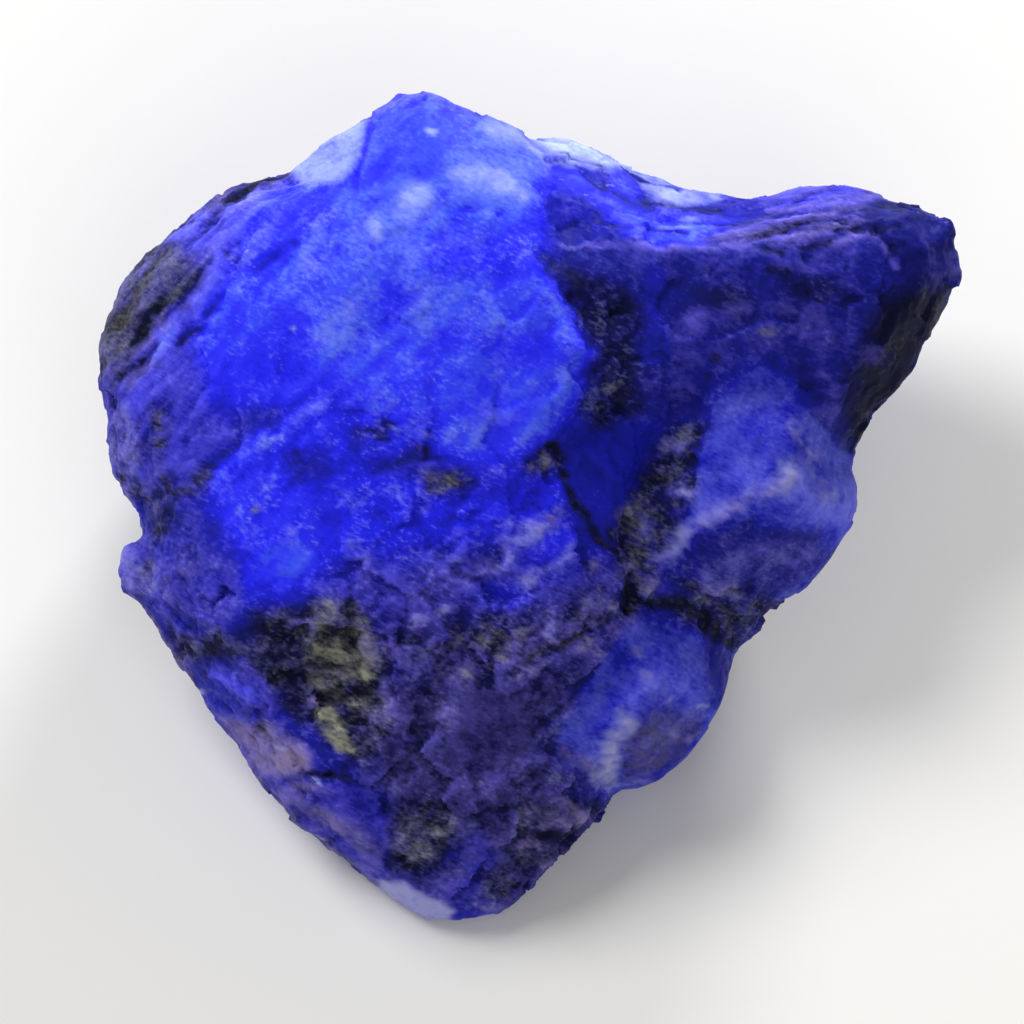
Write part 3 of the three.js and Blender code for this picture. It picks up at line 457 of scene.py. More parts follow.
    ("greyCloud", (0.9, [(-6.4, -5.4), (-4.6, -4.2), (-2.8, -3.2), (-1, -2), (1.2, -0.6)])),
    ("lilacRidge", (0.5, [(-2.8, -3.8), (-1.6, -3.2), (-0.6, -2), (0.4, -1.3)]),
     (0.35, [(-0.4, -4.2), (0.5, -3.6), (1.8, -2.6)])),
    ("lobeCrest", (-0.3, -4.15, 0.22, 0.22, 0)),
    ("deeperBlue", (-1.5, -4.9, 0.7, 0.3, 0)),
    ("greyCloud", (0.35, [(-9.9, -2.3), (-8.4, -3.3), (-9.4, -4.2)])),
    ("oliveTangle", (-2.2, -6.9, 1.6, 0.55, 5)),
    ("crevice", (-2.4, -7.6, 1, 0.3, -10), (-5.2, -7.6, 0.9, 0.3, -10)),
    ("blackHollow", (0.25, [(4.4, -5.9), (2.4, -7), (0.6, -8), (-1, -9)])),
    # the flat at the foot of the middle
    ("lilacGrey", (0.35, [(-4, -10), (-5, -11.6)])),
    ("greyCloud", (0.2, [(-7.2, -12.9), (-5.6, -12.5)])),
    # a patch of painted shade
    ("smudge", (0.8, -12.6, 0.3, 0.6, 0)),
    ("greyCloud", (0.35, [(-2.8, -15.2), (-1.8, -14.8), (-0.6, -14.2), (0.4, -13.6)])),
    ("crevice", (1.4, -15, 1.1, 0.45, -10)),
    # hollow with its crystals
    ("hollow", [(-15.4, -6), (-12.4, -5.3), (-10, -5), (-8.8, -6.2), (-8.2, -8), (-8, -10), (-7.4, -12),
     (-7.8, -13.4), (-9.4, -14.4), (-12.4, -11.6), (-14, -10.4), (-15.4, -9)],
     [(-19.8, -7), (-16, -6.9), (-14.8, -7.6), (-15.2, -8.3), (-18, -8.4), (-19.6, -8.8)]),
    ("oliveTangle", [(-12, -5.6), (-10, -5.2), (-9, -6.6), (-8.7, -9), (-9.2, -11), (-10.6, -10.6),
     (-12, -9.6), (-12.4, -7.8)]),
    ("blackHollow", (-13.8, -9.1, 1.1, 0.7, 0), (0.7, [(-13.8, -6.6), (-13.5, -7.4), (-12.8, -8.3)])),
    ("lilacPebble", (-12.4, -6.4, 0.6, 0.3, 0)),
    ("greyPebble", (-10.4, -6.1, 0.5, 0.22, 0)),
    ("blackHollow", (0.25, [(-10.9, -6.5), (-10.2, -6.8), (-9.6, -7.2)])),
    ("oliveKnot", (-10.7, -5.6, 0.45, 0.24, -10)),
    ("oliveCrystal", [(-11.8, -7.7), (-11, -7.5), (-9.7, -8.1), (-9.9, -8.5), (-11.2, -8.2)]),
    ("oliveKnot", (0.3, [(-9.5, -7.6), (-9.1, -8.6)])),
    ("oliveCrystal", (-9.25, -9.1, 0.2, 0.42, 8)),
    ("oliveKnot", [(-11.4, -8.9), (-10.1, -8.8), (-9.9, -9.4), (-11.2, -9.6)],
     (-12, -9.85, 0.4, 0.22, 20)),
    ("graphiteSeam", (0.1, [(-12.2, -8.6), (-11, -8.55), (-9.8, -8.75)]),
     (0.14, [(-12.1, -7.1), (-11, -6.9), (-9.9, -7.4)])),
    ("blackHollow", (0.3, [(-12, -10.2), (-10, -10.5), (-9.2, -10.1)])),
    ("oliveCrystal", (-9.65, -10.85, 0.4, 0.2, -22)),
    ("oliveTip", (0.1, [(-11.4, -7.7), (-10.4, -7.9)]), (-9.2, -9.1, 0.12, 0.3, 8),
     (-9.7, -10.8, 0.2, 0.1, -22), (0.12, [(-11, -11.6), (-10.6, -12.2)])),
    ("oliveCrystal", [(-11.9, -11.2), (-11.1, -11.1), (-10.4, -12), (-10.1, -12.8), (-9.6, -13.5),
     (-10.6, -13.3), (-11.5, -12.3)]),
    ("graphiteSeam", (0.06, [(-11.7, -12), (-10.5, -11.7)]), (0.06, [(-11.1, -12.9), (-10.1, -12.5)])),
    ("lilacGrey", (0.35, [(-8.6, -9.6), (-8.2, -10.5), (-7.7, -11.2)]),
     (0.2, [(-9.4, -6.7), (-8.8, -7.8), (-8.6, -8.7)]),
     (0.2, [(-9.4, -11.4), (-8.6, -12.4), (-8.2, -13.2)])),
    ("navySeam", (0.35, [(-8.6, -6.5), (-8.3, -7.5), (-8.1, -9)]),
     (0.45, [(-12.9, -11.8), (-12.2, -12.8), (-11.3, -13.7), (-10.5, -14.1), (-9.6, -14.2)])),
    # lower left shoulder and its weathered edge
    ("blueSkin", [(-21, -1.8), (-18.6, -1.2), (-16.4, -3.4), (-15.8, -5), (-16.6, -6.2), (-21.2, -6.4)]),
    ("crevice", (0.35, [(-21.1, -3.4), (-21.2, -4.6)]), (-13, -11.3, 0.6, 0.4, -30)),
    ("greyKnob", (-22.3, -3.6, 1, 1.5, 0)),
    ("lilacRidge", (-22.3, -2.7, 0.5, 0.6, -20), (0.25, [(-20.2, -3.4), (-20.8, -4.6)])),
    ("lilacCloud", (-18.9, -3.4, 1, 0.6, 40)),
    ("navyPatch", (-17.2, -4.6, 0.8, 0.5, 20)),
    ("greyCloud", (0.3, [(-20, -4.6), (-19.4, -5.6)])),
    ("blueSkin", [(-18, -8.6), (-15.8, -8.2), (-14.4, -10), (-14, -11.4), (-17.2, -11.6)]),
    ("lilacStreak", (0.35, [(-17.2, -9.4), (-15.4, -10.4)])),
    ("lavenderSkin", [(-17, -11.6), (-15, -11.9), (-13.2, -12.5), (-12, -13.7), (-12.3, -14.6),
     (-14.8, -14.7), (-16.6, -12.8)]),
    ("crack", (0.14, [(-16.2, -12), (-15.2, -13), (-14.8, -13.9)]),
     (0.1, [(-15.2, -12), (-14.4, -12.8), (-14.1, -13.7)])),
    ("tanSkin", (-13.2, -14, 0.6, 0.45, -30)),
    ("glint", (0.12, [(-14.1, -13.1), (-13.6, -13.3)])),
    ("graphiteSeam", (0.25, [(-12.8, -14.7), (-11.4, -14.7), (-10, -14.9)])),
    ("glint", (0.12, [(-12.1, -14.95), (-11.6, -15.2)])),
    ("blueSkin", [(-14.6, -15.1), (-12, -15.1), (-9, -15.4), (-7.6, -16.4), (-7.8, -18.6), (-8.8, -20.4),
     (-10.6, -19), (-13.4, -16.7)]),
    ("lavenderSkin", (-12.6, -15.4, 0.7, 0.18, 0)),
    ("lilacGrey", (0.9, [(-13.8, -15.8), (-11.4, -17), (-9.8, -18), (-8.8, -19.4)])),
    ("lavenderSkin", (0.4, [(-11.8, -16.8), (-10.4, -17.7)])),
    ("weatheredEdge", (0.4, [(-21.8, -5), (-20.6, -6.9), (-19.2, -9), (-18.4, -11), (-17.2, -12.6),
     (-15, -15.5)]), (0.5, [(-14.6, -16.1), (-12.8, -17.5), (-11.2, -18.8), (-8.4, -21.1)])),
    ("glint", (-18.2, -10.15, 0.2, 0.1, -15)),
    # foot
    ("hollow", [(-7.9, -16.6), (-6, -15.8), (-4.2, -16.6), (-4, -18.2), (-6.2, -20.3), (-8, -20.2)]),
    ("oliveKnot", (-5.1, -17.6, 0.8, 0.35, 20), (-6.2, -18.9, 0.7, 0.5, 35)),
    ("blueSkin", [(-5.8, -20.4), (-4.4, -18.8), (-2.8, -18), (-2, -19.4), (-2.8, -21), (-5, -21.6)]),
    ("lilacGrey", (-4.6, -20.2, 0.9, 0.5, 30)),
    ("lilacCloud", (-3.4, -19.2, 0.7, 0.4, 40)),
    ("crevice", [(-2.6, -20.2), (-1.2, -19.8), (-0.4, -20.6), (-1.4, -21.8), (-2.6, -21.6)]),
    ("weatheredEdge", (0.25, [(-3.4, -22), (-2.2, -22.2), (-1.2, -21.8)])),
    ("lavenderGlass", [(-8.3, -20.5), (-7, -20.65), (-5, -21.7), (-4.2, -22.3), (-5, -23.2),
     (-8.4, -21.6)]),
    ("hollow", [(-1.2, -16.6), (1, -16.2), (4.2, -16.4), (2, -18.8), (0.8, -20), (-0.8, -20),
     (-1.4, -18)]),
    ("blackHollow", (0.25, [(0.6, -18.1), (1.4, -18.2), (2, -17.9)])),
]

# grains that sit loose in the grooves and knots: middle u, v, half sizes, turn
grains = {
    "lilacPebble": [(7.2, 3.2, 0.36, 0.4, 0), (8, 3.1, 0.28, 0.35, 0), (8.1, 0.65, 0.5, 0.24, -5),
                    (-6.2, -6.3, 0.6, 0.45, 0), (-4.6, -5.7, 0.4, 0.25, 20), (0.9, -6.8, 0.3, 0.4, 0)],
    "pebble": [(8.9, 4.5, 0.5, 0.2, 30), (7.3, 2.1, 0.5, 0.25, 10), (6.4, 0.9, 0.35, 0.22, 10),
               (5.8, 0.3, 0.3, 0.2, 0), (5.3, -0.3, 0.45, 0.25, -20), (3.3, -3.4, 0.45, 0.35, 10),
               (5.2, -3.3, 0.35, 0.24, 0), (6.4, -4.3, 0.5, 0.35, 30), (2.9, -5.3, 0.35, 0.35, 0),
               (2.5, -6.1, 0.3, 0.24, 20), (4.4, -5.5, 0.35, 0.45, 0), (4.4, -6.8, 0.35, 0.15, -10),
               (2.7, -7.5, 0.55, 0.28, 30), (0, -8.9, 0.7, 0.2, 20),
               (-2.4, -6.4, 0.6, 0.25, -10), (-1.7, -8.2, 0.4, 0.2, 20), (-0.9, -6.9, 0.3, 0.2, 0),
               (-3.5, -9.2, 0.45, 0.3, -20), (-9, -7.8, 0.18, 0.5, 0)],
    "greyPebble": [(1.4, -17.2, 0.5, 0.3, -20), (2.7, -17, 0.4, 0.25, -35), (0.5, -17.6, 0.35, 0.2, 0),
                   (2, -16.5, 0.8, 0.35, -35), (-0.1, -18.5, 0.8, 0.32, 5), (-0.6, -16.9, 0.35, 0.35, 0),
                   (-12.3, -8.7, 0.45, 0.25, 10), (-11.9, -10.7, 0.35, 0.3, 0)],
}
places += [(grain, *middles) for grain, middles in grains.items()]

tanzanite = {
    "voxel": 0.205,  # mm between points of the skin
    "faceCount": 190000,  # triangles left after the underside and back are thinned out
    # broken facets: mm across, how far each is tilted, and how far it is lifted from the next
    "shards": (2.4, 0.24, 0.06),
    "chips": (1.0, 0.18, 0.05),
    "grains": (0.55, 0.16, 0.05),
    "waveHeight": 0.1,  # mm, soft waves over the broken facets
    "grooveHeight": 0.14,
    "ledgeHeight": 0.07,
    "crustHeight": 0.05,  # mm, knots of the graphite skin
    "streakAngle": 46,  # degrees, grooves of the left third
    "dashAngle": -26,  # degrees, the finest cleavage dashes
    "layerAngle": 12,  # degrees, layers of the right-hand wing
    "layerStep": 0.75,  # mm from layer to layer
}


def readPoints(mesh):
    flat = np.zeros(len(mesh.vertices) * 3, np.float32)
    mesh.vertices.foreach_get("co", flat)
    return flat.reshape(-1, 3).astype(float) / mm


def readNormals(mesh):
    flat = np.zeros(len(mesh.vertices) * 3, np.float32)
    mesh.vertex_normals.foreach_get("vector", flat)
    return flat.reshape(-1, 3).astype(float)


def writePoints(mesh, points):
    mesh.vertices.foreach_set("co", (points * mm).astype(np.float32).ravel())
    mesh.update()


def remeshed(node, voxel, most):  # a new skin over a copy of the solid, even and fine where it faces up
    mesh = node.data.copy()
    work = bmesh.new()
    work.from_mesh(mesh)
    bmesh.ops.remove_doubles(work, verts=work.verts, dist=0.01 * mm)
    work.to_mesh(mesh)
    work.free()
    shell = bpy.data.objects.new("tanzaniteRough", mesh)
    scene.collection.objects.link(shell)
    grid = shell.modifiers.new("even skin", "REMESH")
    grid.mode = "VOXEL"
    grid.voxel_size = voxel * mm
    graph = bpy.context.evaluated_depsgraph_get()
    fresh = bpy.data.meshes.new_from_object(shell.evaluated_get(graph))
    shell.modifiers.clear()
    shell.data = fresh
    bpy.data.meshes.remove(mesh)
    hidden = shell.vertex_groups.new(name="underside and back")
    away = turnToFace(readNormals(fresh))[:, 2] < -0.2
    hidden.add(np.flatnonzero(away).tolist(), 1.0, "REPLACE")
    thin = shell.modifiers.new("thinned", "DECIMATE")
    thin.vertex_group = hidden.name
    thin.ratio = most / (2 * len(fresh.polygons))
    graph = bpy.context.evaluated_depsgraph_get()
    shell.data = bpy.data.meshes.new_from_object(shell.evaluated_get(graph))
    shell.modifiers.clear()
    shell.vertex_groups.clear()
    bpy.data.meshes.remove(fresh)
    return shell


stone = remeshed(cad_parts["rough_tanzanite"], tanzanite["voxel"], tanzanite["faceCount"])
mesh = stone.data
points = readPoints(mesh)
normals = readNormals(mesh)
print("skin of", len(points), "points and", len(mesh.polygons), "faces")

place = turnToFace(points - np.array(face["middle"]))
aim = turnToFace(normals)
# 1 where the skin looks out of the broken face, with a ragged limit where the back begins
front = smooth(-0.45, -0.05, aim[:, 2] - 0.5 * np.maximum(lumps(place, 5.0, 9), 0))


def grooved(angle, along, across, seed):  # noise drawn out along one direction of the face
    turn = math.radians(angle)
    c, s = math.cos(turn), math.sin(turn)
    run = np.stack([(place[:, 0] * c + place[:, 1] * s) / along,
                    (place[:, 1] * c - place[:, 0] * s) / across,
                    place[:, 2] / (2 * across)], axis=1)
    return lumps(run, 1.0, seed)


# what fills the rock away from the named places
wander = lumps(place, 6.5, 3)
patchy = lumps(place, 2.6, 5)
fill = {
    "glow": np.clip(0.4 + 0.3 * wander + 0.14 * patchy, 0.05, 0.8),
    "pale": np.clip(0.5 * lumps(place, 4.0, 11) - 0.2, 0, 0.3),
    "violet": np.clip(0.22 + 0.5 * lumps(place, 3.4, 12), 0, 0.8),
    "matrix": np.clip(0.25 + 0.9 * lumps(place, 5.0, 13) + 0.35 * patchy, 0, 0.9),
    "olive": np.clip(1.1 * lumps(place, 3.2, 14) - 0.35, 0, 0.8),
    "dust": np.clip(0.9 * lumps(place, 4.6, 15) - 0.1, 0, 0.6),
    "mottle": np.full(len(points), 0.7),
    "rough": np.full(len(points), 0.5),
    "streak": np.full(len(points), 0.25),
    "layer": np.full(len(points), 0.15),
}
start = {"glow": 0.48, "violet": 0.08, "mottle": 0.7, "rough": 0.4}
for name, field in fill.items():
    field += front * (start.get(name, 0.0) - field)
rise = np.zeros(len(points))

# wavering the places' outlines makes them grow like minerals instead of drawn shapes
waver = np.stack([lumps(place, 2.2, 21) * 0.3 + lumps(place, 0.8, 22) * 0.16,
                  lumps(place, 2.2, 23) * 0.3 + lumps(place, 0.8, 24) * 0.16], axis=1)
gaps = smooth(0.25, -0.3, grooved(tanzanite["dashAngle"], 1.1, 0.45, 27))  # in a broken look
for look, *shapes in places:
    amounts = looks[look]
    at = place[:, :2] + min(1, 1.4 * amounts["soft"]) * waver
    for shape in shapes:
        share = smooth(0.5, -0.5, distance(at, shape) / (amounts["soft"] * 1.5)) * front
        share *= 1 - amounts.get("broken", 0) * gaps
        for name, field in fill.items():
            if name in amounts:
                field += share * (amounts[name] - field)
        rise += share * amounts.get("rise", 0)
print("laid", sum(len(shapes) for look, *shapes in places), "mineral places")

streaks = grooved(tanzanite["streakAngle"], 5.0, 0.9, 31)
streaks += 0.5 * grooved(tanzanite["streakAngle"], 2.6, 0.45, 32)
turn = math.radians(tanzanite["layerAngle"])
level = place[:, 1] * math.cos(turn) - place[:, 0] * math.sin(turn)
level = level / tanzanite["layerStep"] + 0.55 * grooved(tanzanite["layerAngle"], 6.0, 2.0, 33)
step = level - np.floor(level)
ledge = smooth(0, 0.25, step) - step  # a step up, then a slow fall
fill["glow"] += 0.2 * fill["streak"] * streaks + 0.18 * fill["layer"] * (step - 0.5)
worn = smooth(0.1, 0.3, step) * (1 - step)  # the paler lip of each ledge
fill["violet"] += 0.18 * fill["streak"] * streaks + 0.24 * fill["layer"] * worn
fill["matrix"] += 0.1 * fill["layer"] * smooth(0.8, 1.0, step)

rough = fill["rough"]
relief = rise + rough * shards(place, *tanzanite["shards"], 41)
relief += rough * tanzanite["waveHeight"] * lumps(place, 1.6, 34)
relief += tanzanite["grooveHeight"] * fill["streak"] * streaks
relief += tanzanite["ledgeHeight"] * fill["layer"] * ledge
foot = smooth(1.6, 0.5, points[:, 2]) * smooth(-0.4, -0.8, normals[:, 2])  # the flat it lies on
points = points + normals * (relief * (1 - foot))[:, None]
points[:, 2] = np.maximum(points[:, 2], 0)
writePoints(mesh, points)

# finer breaks go on along the new normals
normals = readNormals(mesh)
place = turnToFace(points - np.array(face["middle"]))
fine = rough * shards(place, *tanzanite["chips"], 51)
fine += rough * shards(place, *tanzanite["grains"], 61)
fine += fill["matrix"] * tanzanite["crustHeight"] * lumps(place, 0.8, 71)
points = points + normals * (fine * (1 - foot))[:, None]
points[:, 2] = np.maximum(points[:, 2], 0)
writePoints(mesh, points)
mesh.polygons.foreach_set("use_smooth", np.ones(len(mesh.polygons), bool))

# painted light and shade by curvature: thin crests are painted brighter and more violet, as if light came
# through them, and hollows darker and blacker, as shade
links = np.zeros(len(mesh.edges) * 2, np.int32)
mesh.edges.foreach_get("vertices", links)
links = links.reshape(-1, 2)
ends = np.concatenate([links[:, 0], links[:, 1]])
others = np.concatenate([links[:, 1], links[:, 0]])
count = np.bincount(ends, minlength=len(points))


def spread(values, rounds):  # each value drawn towards its neighbours' mean
    for _ in range(rounds):
        mean = [np.bincount(ends, values[others, k], len(points)) / count for k in range(values.shape[1])]
        values = 0.4 * values + 0.6 * np.stack(mean, axis=1)
    return values


normals = readNormals(mesh)
near = spread(points, 5)
wide = spread(near, 40)
crest = ((points - near) * normals).sum(axis=1) / 0.06 + ((near - wide) * normals).sum(axis=1) / 0.3
crest = np.tanh(spread(crest[:, None], 1)[:, 0])
# painted light on the crests
paintedCrestGlow = np.maximum(crest, 0) * fill["mottle"]
# painted shade in the hollows
paintedHollowShade = np.maximum(-crest, 0) * (0.3 + 0.7 * fill["mottle"])
fill["glow"] += 0.06 * paintedCrestGlow - 0.1 * paintedHollowShade
fill["violet"] += 0.13 * paintedCrestGlow - 0.1 * paintedHollowShade
fill["matrix"] += 0.12 * paintedHollowShade - 0.12 * paintedCrestGlow
for name in ("glow", "pale", "violet", "matrix", "olive", "dust", "mottle", "streak", "layer"):
    record = mesh.attributes.new(name, "FLOAT", "POINT")
    record.data.foreach_set("value", np.clip(fill[name], 0, 1).astype(np.float32))
print("broken surface cut")

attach(stone, "root")
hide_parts("rough_tanzanite")


def linear(code):  # an sRGB hex colour as Blender's linear one
    parts = [int(code[i:i + 2], 16) / 255 for i in (1, 3, 5)]
    return [c / 12.92 if c <= 0.04045 else ((c + 0.055) / 1.055) ** 2.4 for c in parts] + [1]


def addNode(tree, kind, settings, inputs):  # one node with its settings, and its values or links
    node = tree.nodes.new("ShaderNode" + kind)
    for name, value in settings.items():
        setattr(node, name, value)
    for name, value in inputs.items():
        if isinstance(value, bpy.types.NodeSocket):
            tree.links.new(value, node.inputs[name])
        else:
            node.inputs[name].default_value = value
    return node


def newMaterial(name):
    material = bpy.data.materials.new(name)
    material.use_nodes = True
    material.node_tree.nodes.clear()
    return material, material.node_tree


crystal = {
    # the clear end of the blues is painted as bright as the light coming through from behind
    "blues": [(0.0, "#0A0B16"), (0.15, "#101238"), (0.3, "#171A66"), (0.45, "#1C2098"), (0.6, "#2124C8"),
              (0.75, "#2729F3"), (0.87, "#3236FF"), (1.0, "#4A64FF")],  # from thick or stained to clear
    "milk": "#CFE0FF",
    "lavender": "#9083D0",
    "periwinkle": "#98A0FF",  # the lavender cast where light comes through
    "graphite": "#14152A",
    "greyGrain": "#4C4E62",
    "olive": "#92937E",
    "oliveTip": "#CFD0A8",
    # pale olive of the crystal tips, partly a painted glint
    "dust": "#94838A",
    "ior": 1.69,  # tanzanite
    "roughness": 0.42,
    # mm along, across and into the broken face
    "cloud": (1.7, 1.7, 4.0),  # soft clouds of deeper and clearer blue
    "groove": (4.0, 0.7, 1.4),  # the same clouds drawn out along the grooves
    "strand": (2.4, 0.4, 0.8),  # and along the layers of the wing
    "patch": 2.4,  # mm from one cluster of light flakes or dark flecks to the next
    "flake": (0.36, 0.2, 0.55),  # cleavage flakes; real ones are finer, drawn as coarse as still shows
    "flakeHeight": 0.5,  # of a flake's width, how high its tilt lifts it
    "sugarHeight": 0.05,  # mm
    "cloudHeight": 0.14,
    "gloss": 0.02,  # the dusty skin hardly shines
    "milkiness": 0.25,  # share of the light that scatters inside
    "scatter": 0.6,  # mm that it spreads under the surface
    "scatterColour": (0.4, 0.4, 1.0),
    # how far each colour follows the grain, against it where less than nought
    "follow": {"glow": 0.22, "violet": 0.5, "pale": 0.3, "dust": 0.4, "matrix": -0.5, "olive": 2.2},
}


def tanzaniteMaterial():  # rough tanzanite: clear blue heart, sugary cleavage flakes, stained skin
    material, tree = newMaterial("roughTanzaniteCrystal")
    where = addNode(tree, "TexCoord", {}, {}).outputs["Object"]

    def amount(name):
        return addNode(tree, "Attribute", {"attribute_name": name}, {}).outputs["Fac"]

    def maths(operation, first, second, third=0.0):
        return addNode(tree, "Math", {"operation": operation}, {0: first, 1: second, 2: third}).outputs[0]

    def vectors(operation, first, second):
        return addNode(tree, "VectorMath", {"operation": operation}, {0: first, 1: second})

    def grained(name):  # one amount, straying from grain to grain
        return maths("MULTIPLY_ADD", stray, crystal["follow"][name], amount(name))

    def between(value, low, high, toLow=0.0, toHigh=1.0):
        return addNode(tree, "MapRange", {}, {0: value, 1: low, 2: high, 3: toLow, 4: toHigh}).outputs[0]

    def blend(share, first, second):
        return addNode(tree, "Mix", {"data_type": "RGBA"}, {0: share, 6: first, 7: second}).outputs[2]

    def drawnOut(degrees, size):  # coordinates stretched along one direction of the broken face
        tip = Matrix.Rotation(math.radians(face["leanBack"]), 3, "X")
        turn = (tip @ Matrix.Rotation(math.radians(degrees), 3, "Z")).to_euler()
        return addNode(tree, "Mapping", {"vector_type": "TEXTURE"},
                       {"Vector": where, "Rotation": turn, "Scale": [w * mm for w in size]}).outputs[0]

    def noise(vector, scale, detail, roughness=0.55):
        return addNode(tree, "TexNoise", {}, {"Vector": vector, "Scale": scale, "Detail": detail,
                                              "Roughness": roughness}).outputs[0]

    glow = amount("glow")
    mottle = amount("mottle")
    clouds = noise(drawnOut(0, crystal["cloud"]), 1.0, 3.0, 0.6)
    grooves = noise(drawnOut(tanzanite["streakAngle"], crystal["groove"]), 1.0, 3.0)
    clouds = addNode(tree, "Mix", {}, {0: amount("streak"), 2: clouds, 3: grooves}).outputs[0]
    strands = noise(drawnOut(tanzanite["layerAngle"], crystal["strand"]), 1.0, 3.0, 0.65)
    clouds = addNode(tree, "Mix", {}, {0: amount("layer"), 2: clouds, 3: strands}).outputs[0]
    patches = noise(where, 1 / (crystal["patch"] * mm), 2.0)
    flakeSpace = drawnOut(tanzanite["dashAngle"], crystal["flake"])
    sugar = noise(flakeSpace, 1.0, 2.0)
    flake = addNode(tree, "TexVoronoi", {}, {"Vector": flakeSpace, "Scale": 1.0})
    flakeShade = addNode(tree, "SeparateColor", {}, {0: flake.outputs["Color"]})

    # how far each grain strays from its neighbours' colour, on average nought
    stray = maths("MULTIPLY_ADD", clouds, 1.8, maths("MULTIPLY_ADD", sugar, 0.8, -1.3))
    stray = maths("MULTIPLY", stray, maths("MULTIPLY_ADD", mottle, 0.75, 0.25))
    shade = grained("glow")

    ramp = addNode(tree, "ValToRGB", {}, {0: shade})
    steps = ramp.color_ramp.elements
    while len(steps) < len(crystal["blues"]):
        steps.new(0.5)
    for stop, (at, code) in zip(steps, crystal["blues"]):
        stop.position = at
        stop.color = linear(code)
    colour = ramp.outputs[0]

    dashes = maths("MULTIPLY", between(sugar, 0.56, 0.76, 0.0, 0.45), between(patches, 0.42, 0.62))
    dashes = maths("MULTIPLY", dashes, between(glow, 0.3, 0.7, 0.4, 1.0))
    lavender = between(maths("MULTIPLY_ADD", dashes, mottle, grained("violet")), 0.1, 1.2, 0.0, 0.95)
    tint = blend(between(glow, 0.55, 0.9), linear(crystal["lavender"]), linear(crystal["periwinkle"]))
    colour = blend(lavender, colour, tint)
    colour = blend(between(grained("pale"), 0.05, 1.15), colour, linear(crystal["milk"]))
    colour = blend(between(grained("dust"), 0.1, 1.0, 0.0, 0.85), colour, linear(crystal["dust"]))
    skin = blend(between(maths("ADD", flakeShade.outputs[2], stray), 0.6, 1.5), linear(crystal["graphite"]),
                 linear(crystal["greyGrain"]))
    flecks = maths("MULTIPLY", between(sugar, 0.4, 0.28, 0.0, 0.3), between(patches, 0.55, 0.4))
    stained = between(maths("MULTIPLY_ADD", flecks, mottle, grained("matrix")), 0.05, 1.0, 0.0, 0.9)
    colour = blend(stained, colour, skin)
    greenish = maths("MULTIPLY_ADD", stray, crystal["follow"]["olive"], 1.0)
    greenish = maths("MULTIPLY", greenish, amount("olive"))
    greenish = between(greenish, 0.1, 0.9, 0.0, 0.92)
    olive = blend(between(sugar, 0.15, 0.6), linear(crystal["greyGrain"]), linear(crystal["olive"]))
    # paler olive where the crystal tips are, partly a painted glint
    olive = blend(between(amount("pale"), 0.05, 1.0), olive, linear(crystal["oliveTip"]))
    colour = blend(greenish, colour, olive)

    # every flake is its own small flat: height is its tilt times the way from its middle
    away = vectors("SUBTRACT", flakeSpace, flake.outputs["Position"])
    tilt = vectors("SUBTRACT", flake.outputs["Color"], (0.5, 0.5, 0.5))
    flats = vectors("DOT_PRODUCT", away.outputs[0], tilt.outputs[0]).outputs["Value"]
    height = maths("MULTIPLY", flats, crystal["flakeHeight"] * crystal["flake"][1] * mm)
    height = maths("MULTIPLY_ADD", sugar, crystal["sugarHeight"] * mm, height)
    height = maths("MULTIPLY_ADD", clouds, crystal["cloudHeight"] * mm, height)
    strength = maths("MULTIPLY_ADD", mottle, 0.4, 0.3)
    bump = addNode(tree, "Bump", {}, {"Height": height, "Strength": strength, "Distance": 1.0}).outputs[0]
    glossy = between(flakeShade.outputs[1], 0.9, 0.95, 0.0, 0.22)
    roughness = maths("SUBTRACT", maths("MULTIPLY_ADD", sugar, 0.25, crystal["roughness"] - 0.1), glossy)
    roughness = maths("MULTIPLY_ADD", stained, 0.3, roughness)
    shader = addNode(tree, "BsdfPrincipled", {}, {
        "Base Color": colour, "Roughness": roughness, "IOR": crystal["ior"], "Normal": bump,
        "Specular IOR Level": crystal["gloss"], "Subsurface Weight": crystal["milkiness"],
        "Subsurface Scale": crystal["scatter"] * mm, "Subsurface Radius": crystal["scatterColour"]})
    addNode(tree, "OutputMaterial", {}, {0: shader.outputs[0]})
    return material


stone.data.materials.clear()
stone.data.materials.append(tanzaniteMaterial())
print("stone coloured")

studio = {
    "floorColour": "#EDECEA",
    "floorShade": "#EBEAE7",
    "worldColour": "#F5F5F3",
    "worldStrength": 0.3,
    "cameraElevation": 65,  # degrees, square on to the broad face
    "lens": 600,  # mm, long, so nothing widens towards the lens
    "across": 56.32,  # mm of the face's plane that the frame holds
    "aim": (-1.155, -0.33),  # u, v at the middle of the frame
    "lamps": [
        # name, position in mm, size in mm, watts, colour
        ("softboxLeft", (-420, 260, 620), 380, 4.1, "#FFFFFF"),
        ("fillFront", (120, -500, 520), 500, 1.2, "#FFFFFF"),
        ("glowBehind", (150, 420, 160), 120, 1.7, "#FFFFFF"),
    ],
}


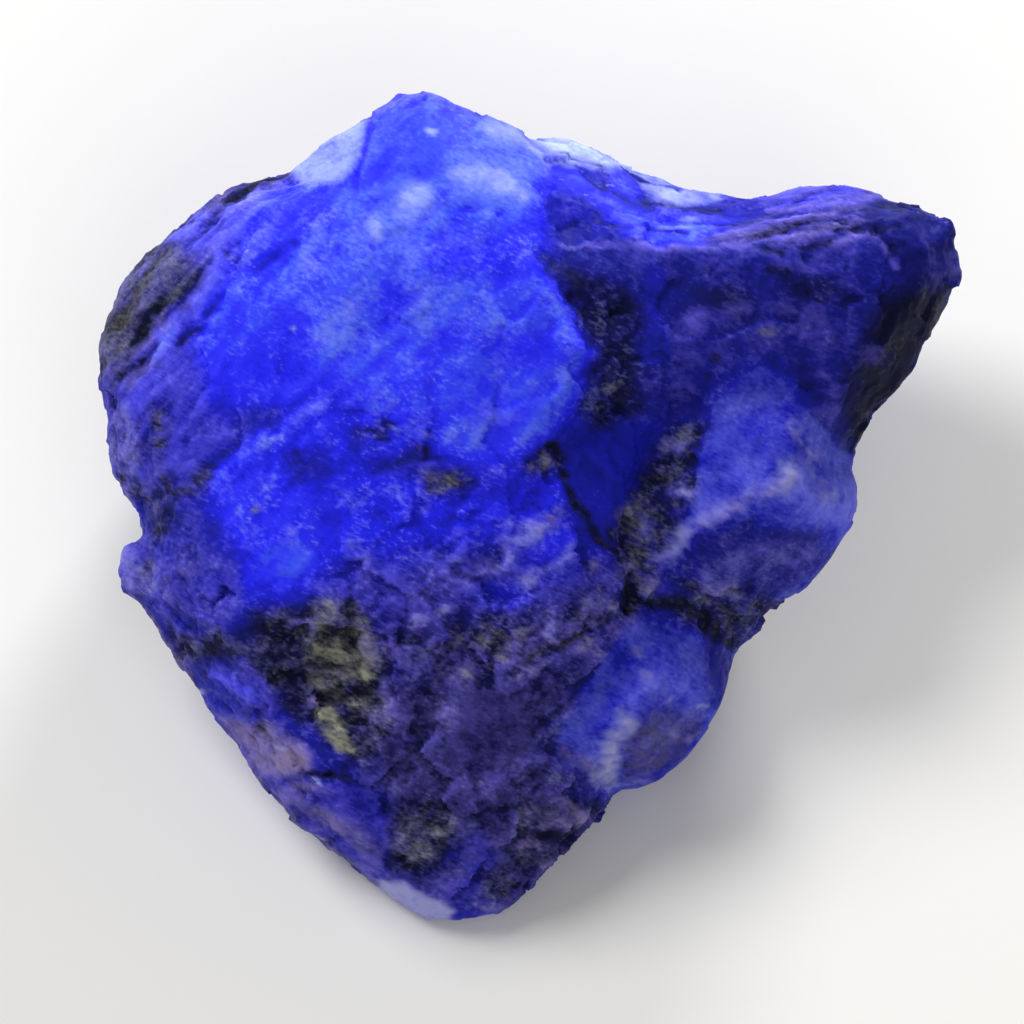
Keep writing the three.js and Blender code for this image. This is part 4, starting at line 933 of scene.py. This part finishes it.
def cardMaterial():  # matt white card: an even pale ground with a faint tooth
    material, tree = newMaterial("mattWhiteCard")
    where = addNode(tree, "TexCoord", {}, {}).outputs["Object"]
    tooth = addNode(tree, "TexNoise", {}, {"Vector": where, "Scale": 1 / (0.8 * mm), "Detail": 3.0})
    cloud = addNode(tree, "TexNoise", {}, {"Vector": where, "Scale": 1 / (40 * mm), "Detail": 2.0})
    tone = addNode(tree, "Mix", {"data_type": "RGBA"}, {0: cloud.outputs[0], 6: linear(studio["floorShade"]),
                                                        7: linear(studio["floorColour"])}).outputs[2]
    bump = addNode(tree, "Bump", {}, {"Height": tooth.outputs[0], "Strength": 0.15,
                                      "Distance": 0.05 * mm}).outputs[0]
    shader = addNode(tree, "BsdfPrincipled", {}, {"Base Color": tone, "Roughness": 0.85, "Normal": bump,
                                                  "Specular IOR Level": 0.2})
    addNode(tree, "OutputMaterial", {}, {0: shader.outputs[0]})
    return material


cardMesh = bpy.data.meshes.new("card")
half = 3.0  # m
corners = [(-half, -half, 0), (half, -half, 0), (half, half, 0), (-half, half, 0)]
cardMesh.from_pydata(corners, [], [(0, 1, 2, 3)])
card = bpy.data.objects.new("card", cardMesh)
card.location.z = -0.02 * mm
cardMesh.materials.append(cardMaterial())
scene.collection.objects.link(card)

world = bpy.data.worlds.new("paleRoom")
scene.world = world
world.use_nodes = True
backdrop = world.node_tree.nodes["Background"]
backdrop.inputs["Color"].default_value = linear(studio["worldColour"])
backdrop.inputs["Strength"].default_value = studio["worldStrength"]

middle = Vector(face["middle"]) * mm
for name, spot, size, watts, code in studio["lamps"]:
    lamp = bpy.data.lights.new(name, "AREA")
    lamp.shape = "DISK"
    lamp.size = size * mm
    lamp.energy = watts
    lamp.color = linear(code)[:3]
    holder = bpy.data.objects.new(name, lamp)
    holder.location = Vector(spot) * mm
    holder.rotation_euler = (middle - holder.location).to_track_quat("-Z", "Y").to_euler()
    scene.collection.objects.link(holder)

elevation = math.radians(studio["cameraElevation"])
back = Vector((0, -math.cos(elevation), math.sin(elevation)))
up = Vector((0, math.sin(elevation), math.cos(elevation)))
u, v = studio["aim"]
target = middle + (Vector((1, 0, 0)) * u + up * v) * mm
lens = bpy.data.cameras.new("camera")
lens.lens = studio["lens"]
lens.sensor_width = 36
farOff = studio["lens"] / lens.sensor_width * studio["across"] * mm
lens.clip_start = 0.01
lens.clip_end = 50
camera = bpy.data.objects.new("camera", lens)
camera.location = target + back * farOff
camera.rotation_euler = (-back).to_track_quat("-Z", "Y").to_euler()
scene.collection.objects.link(camera)
scene.camera = camera
print("studio ready")
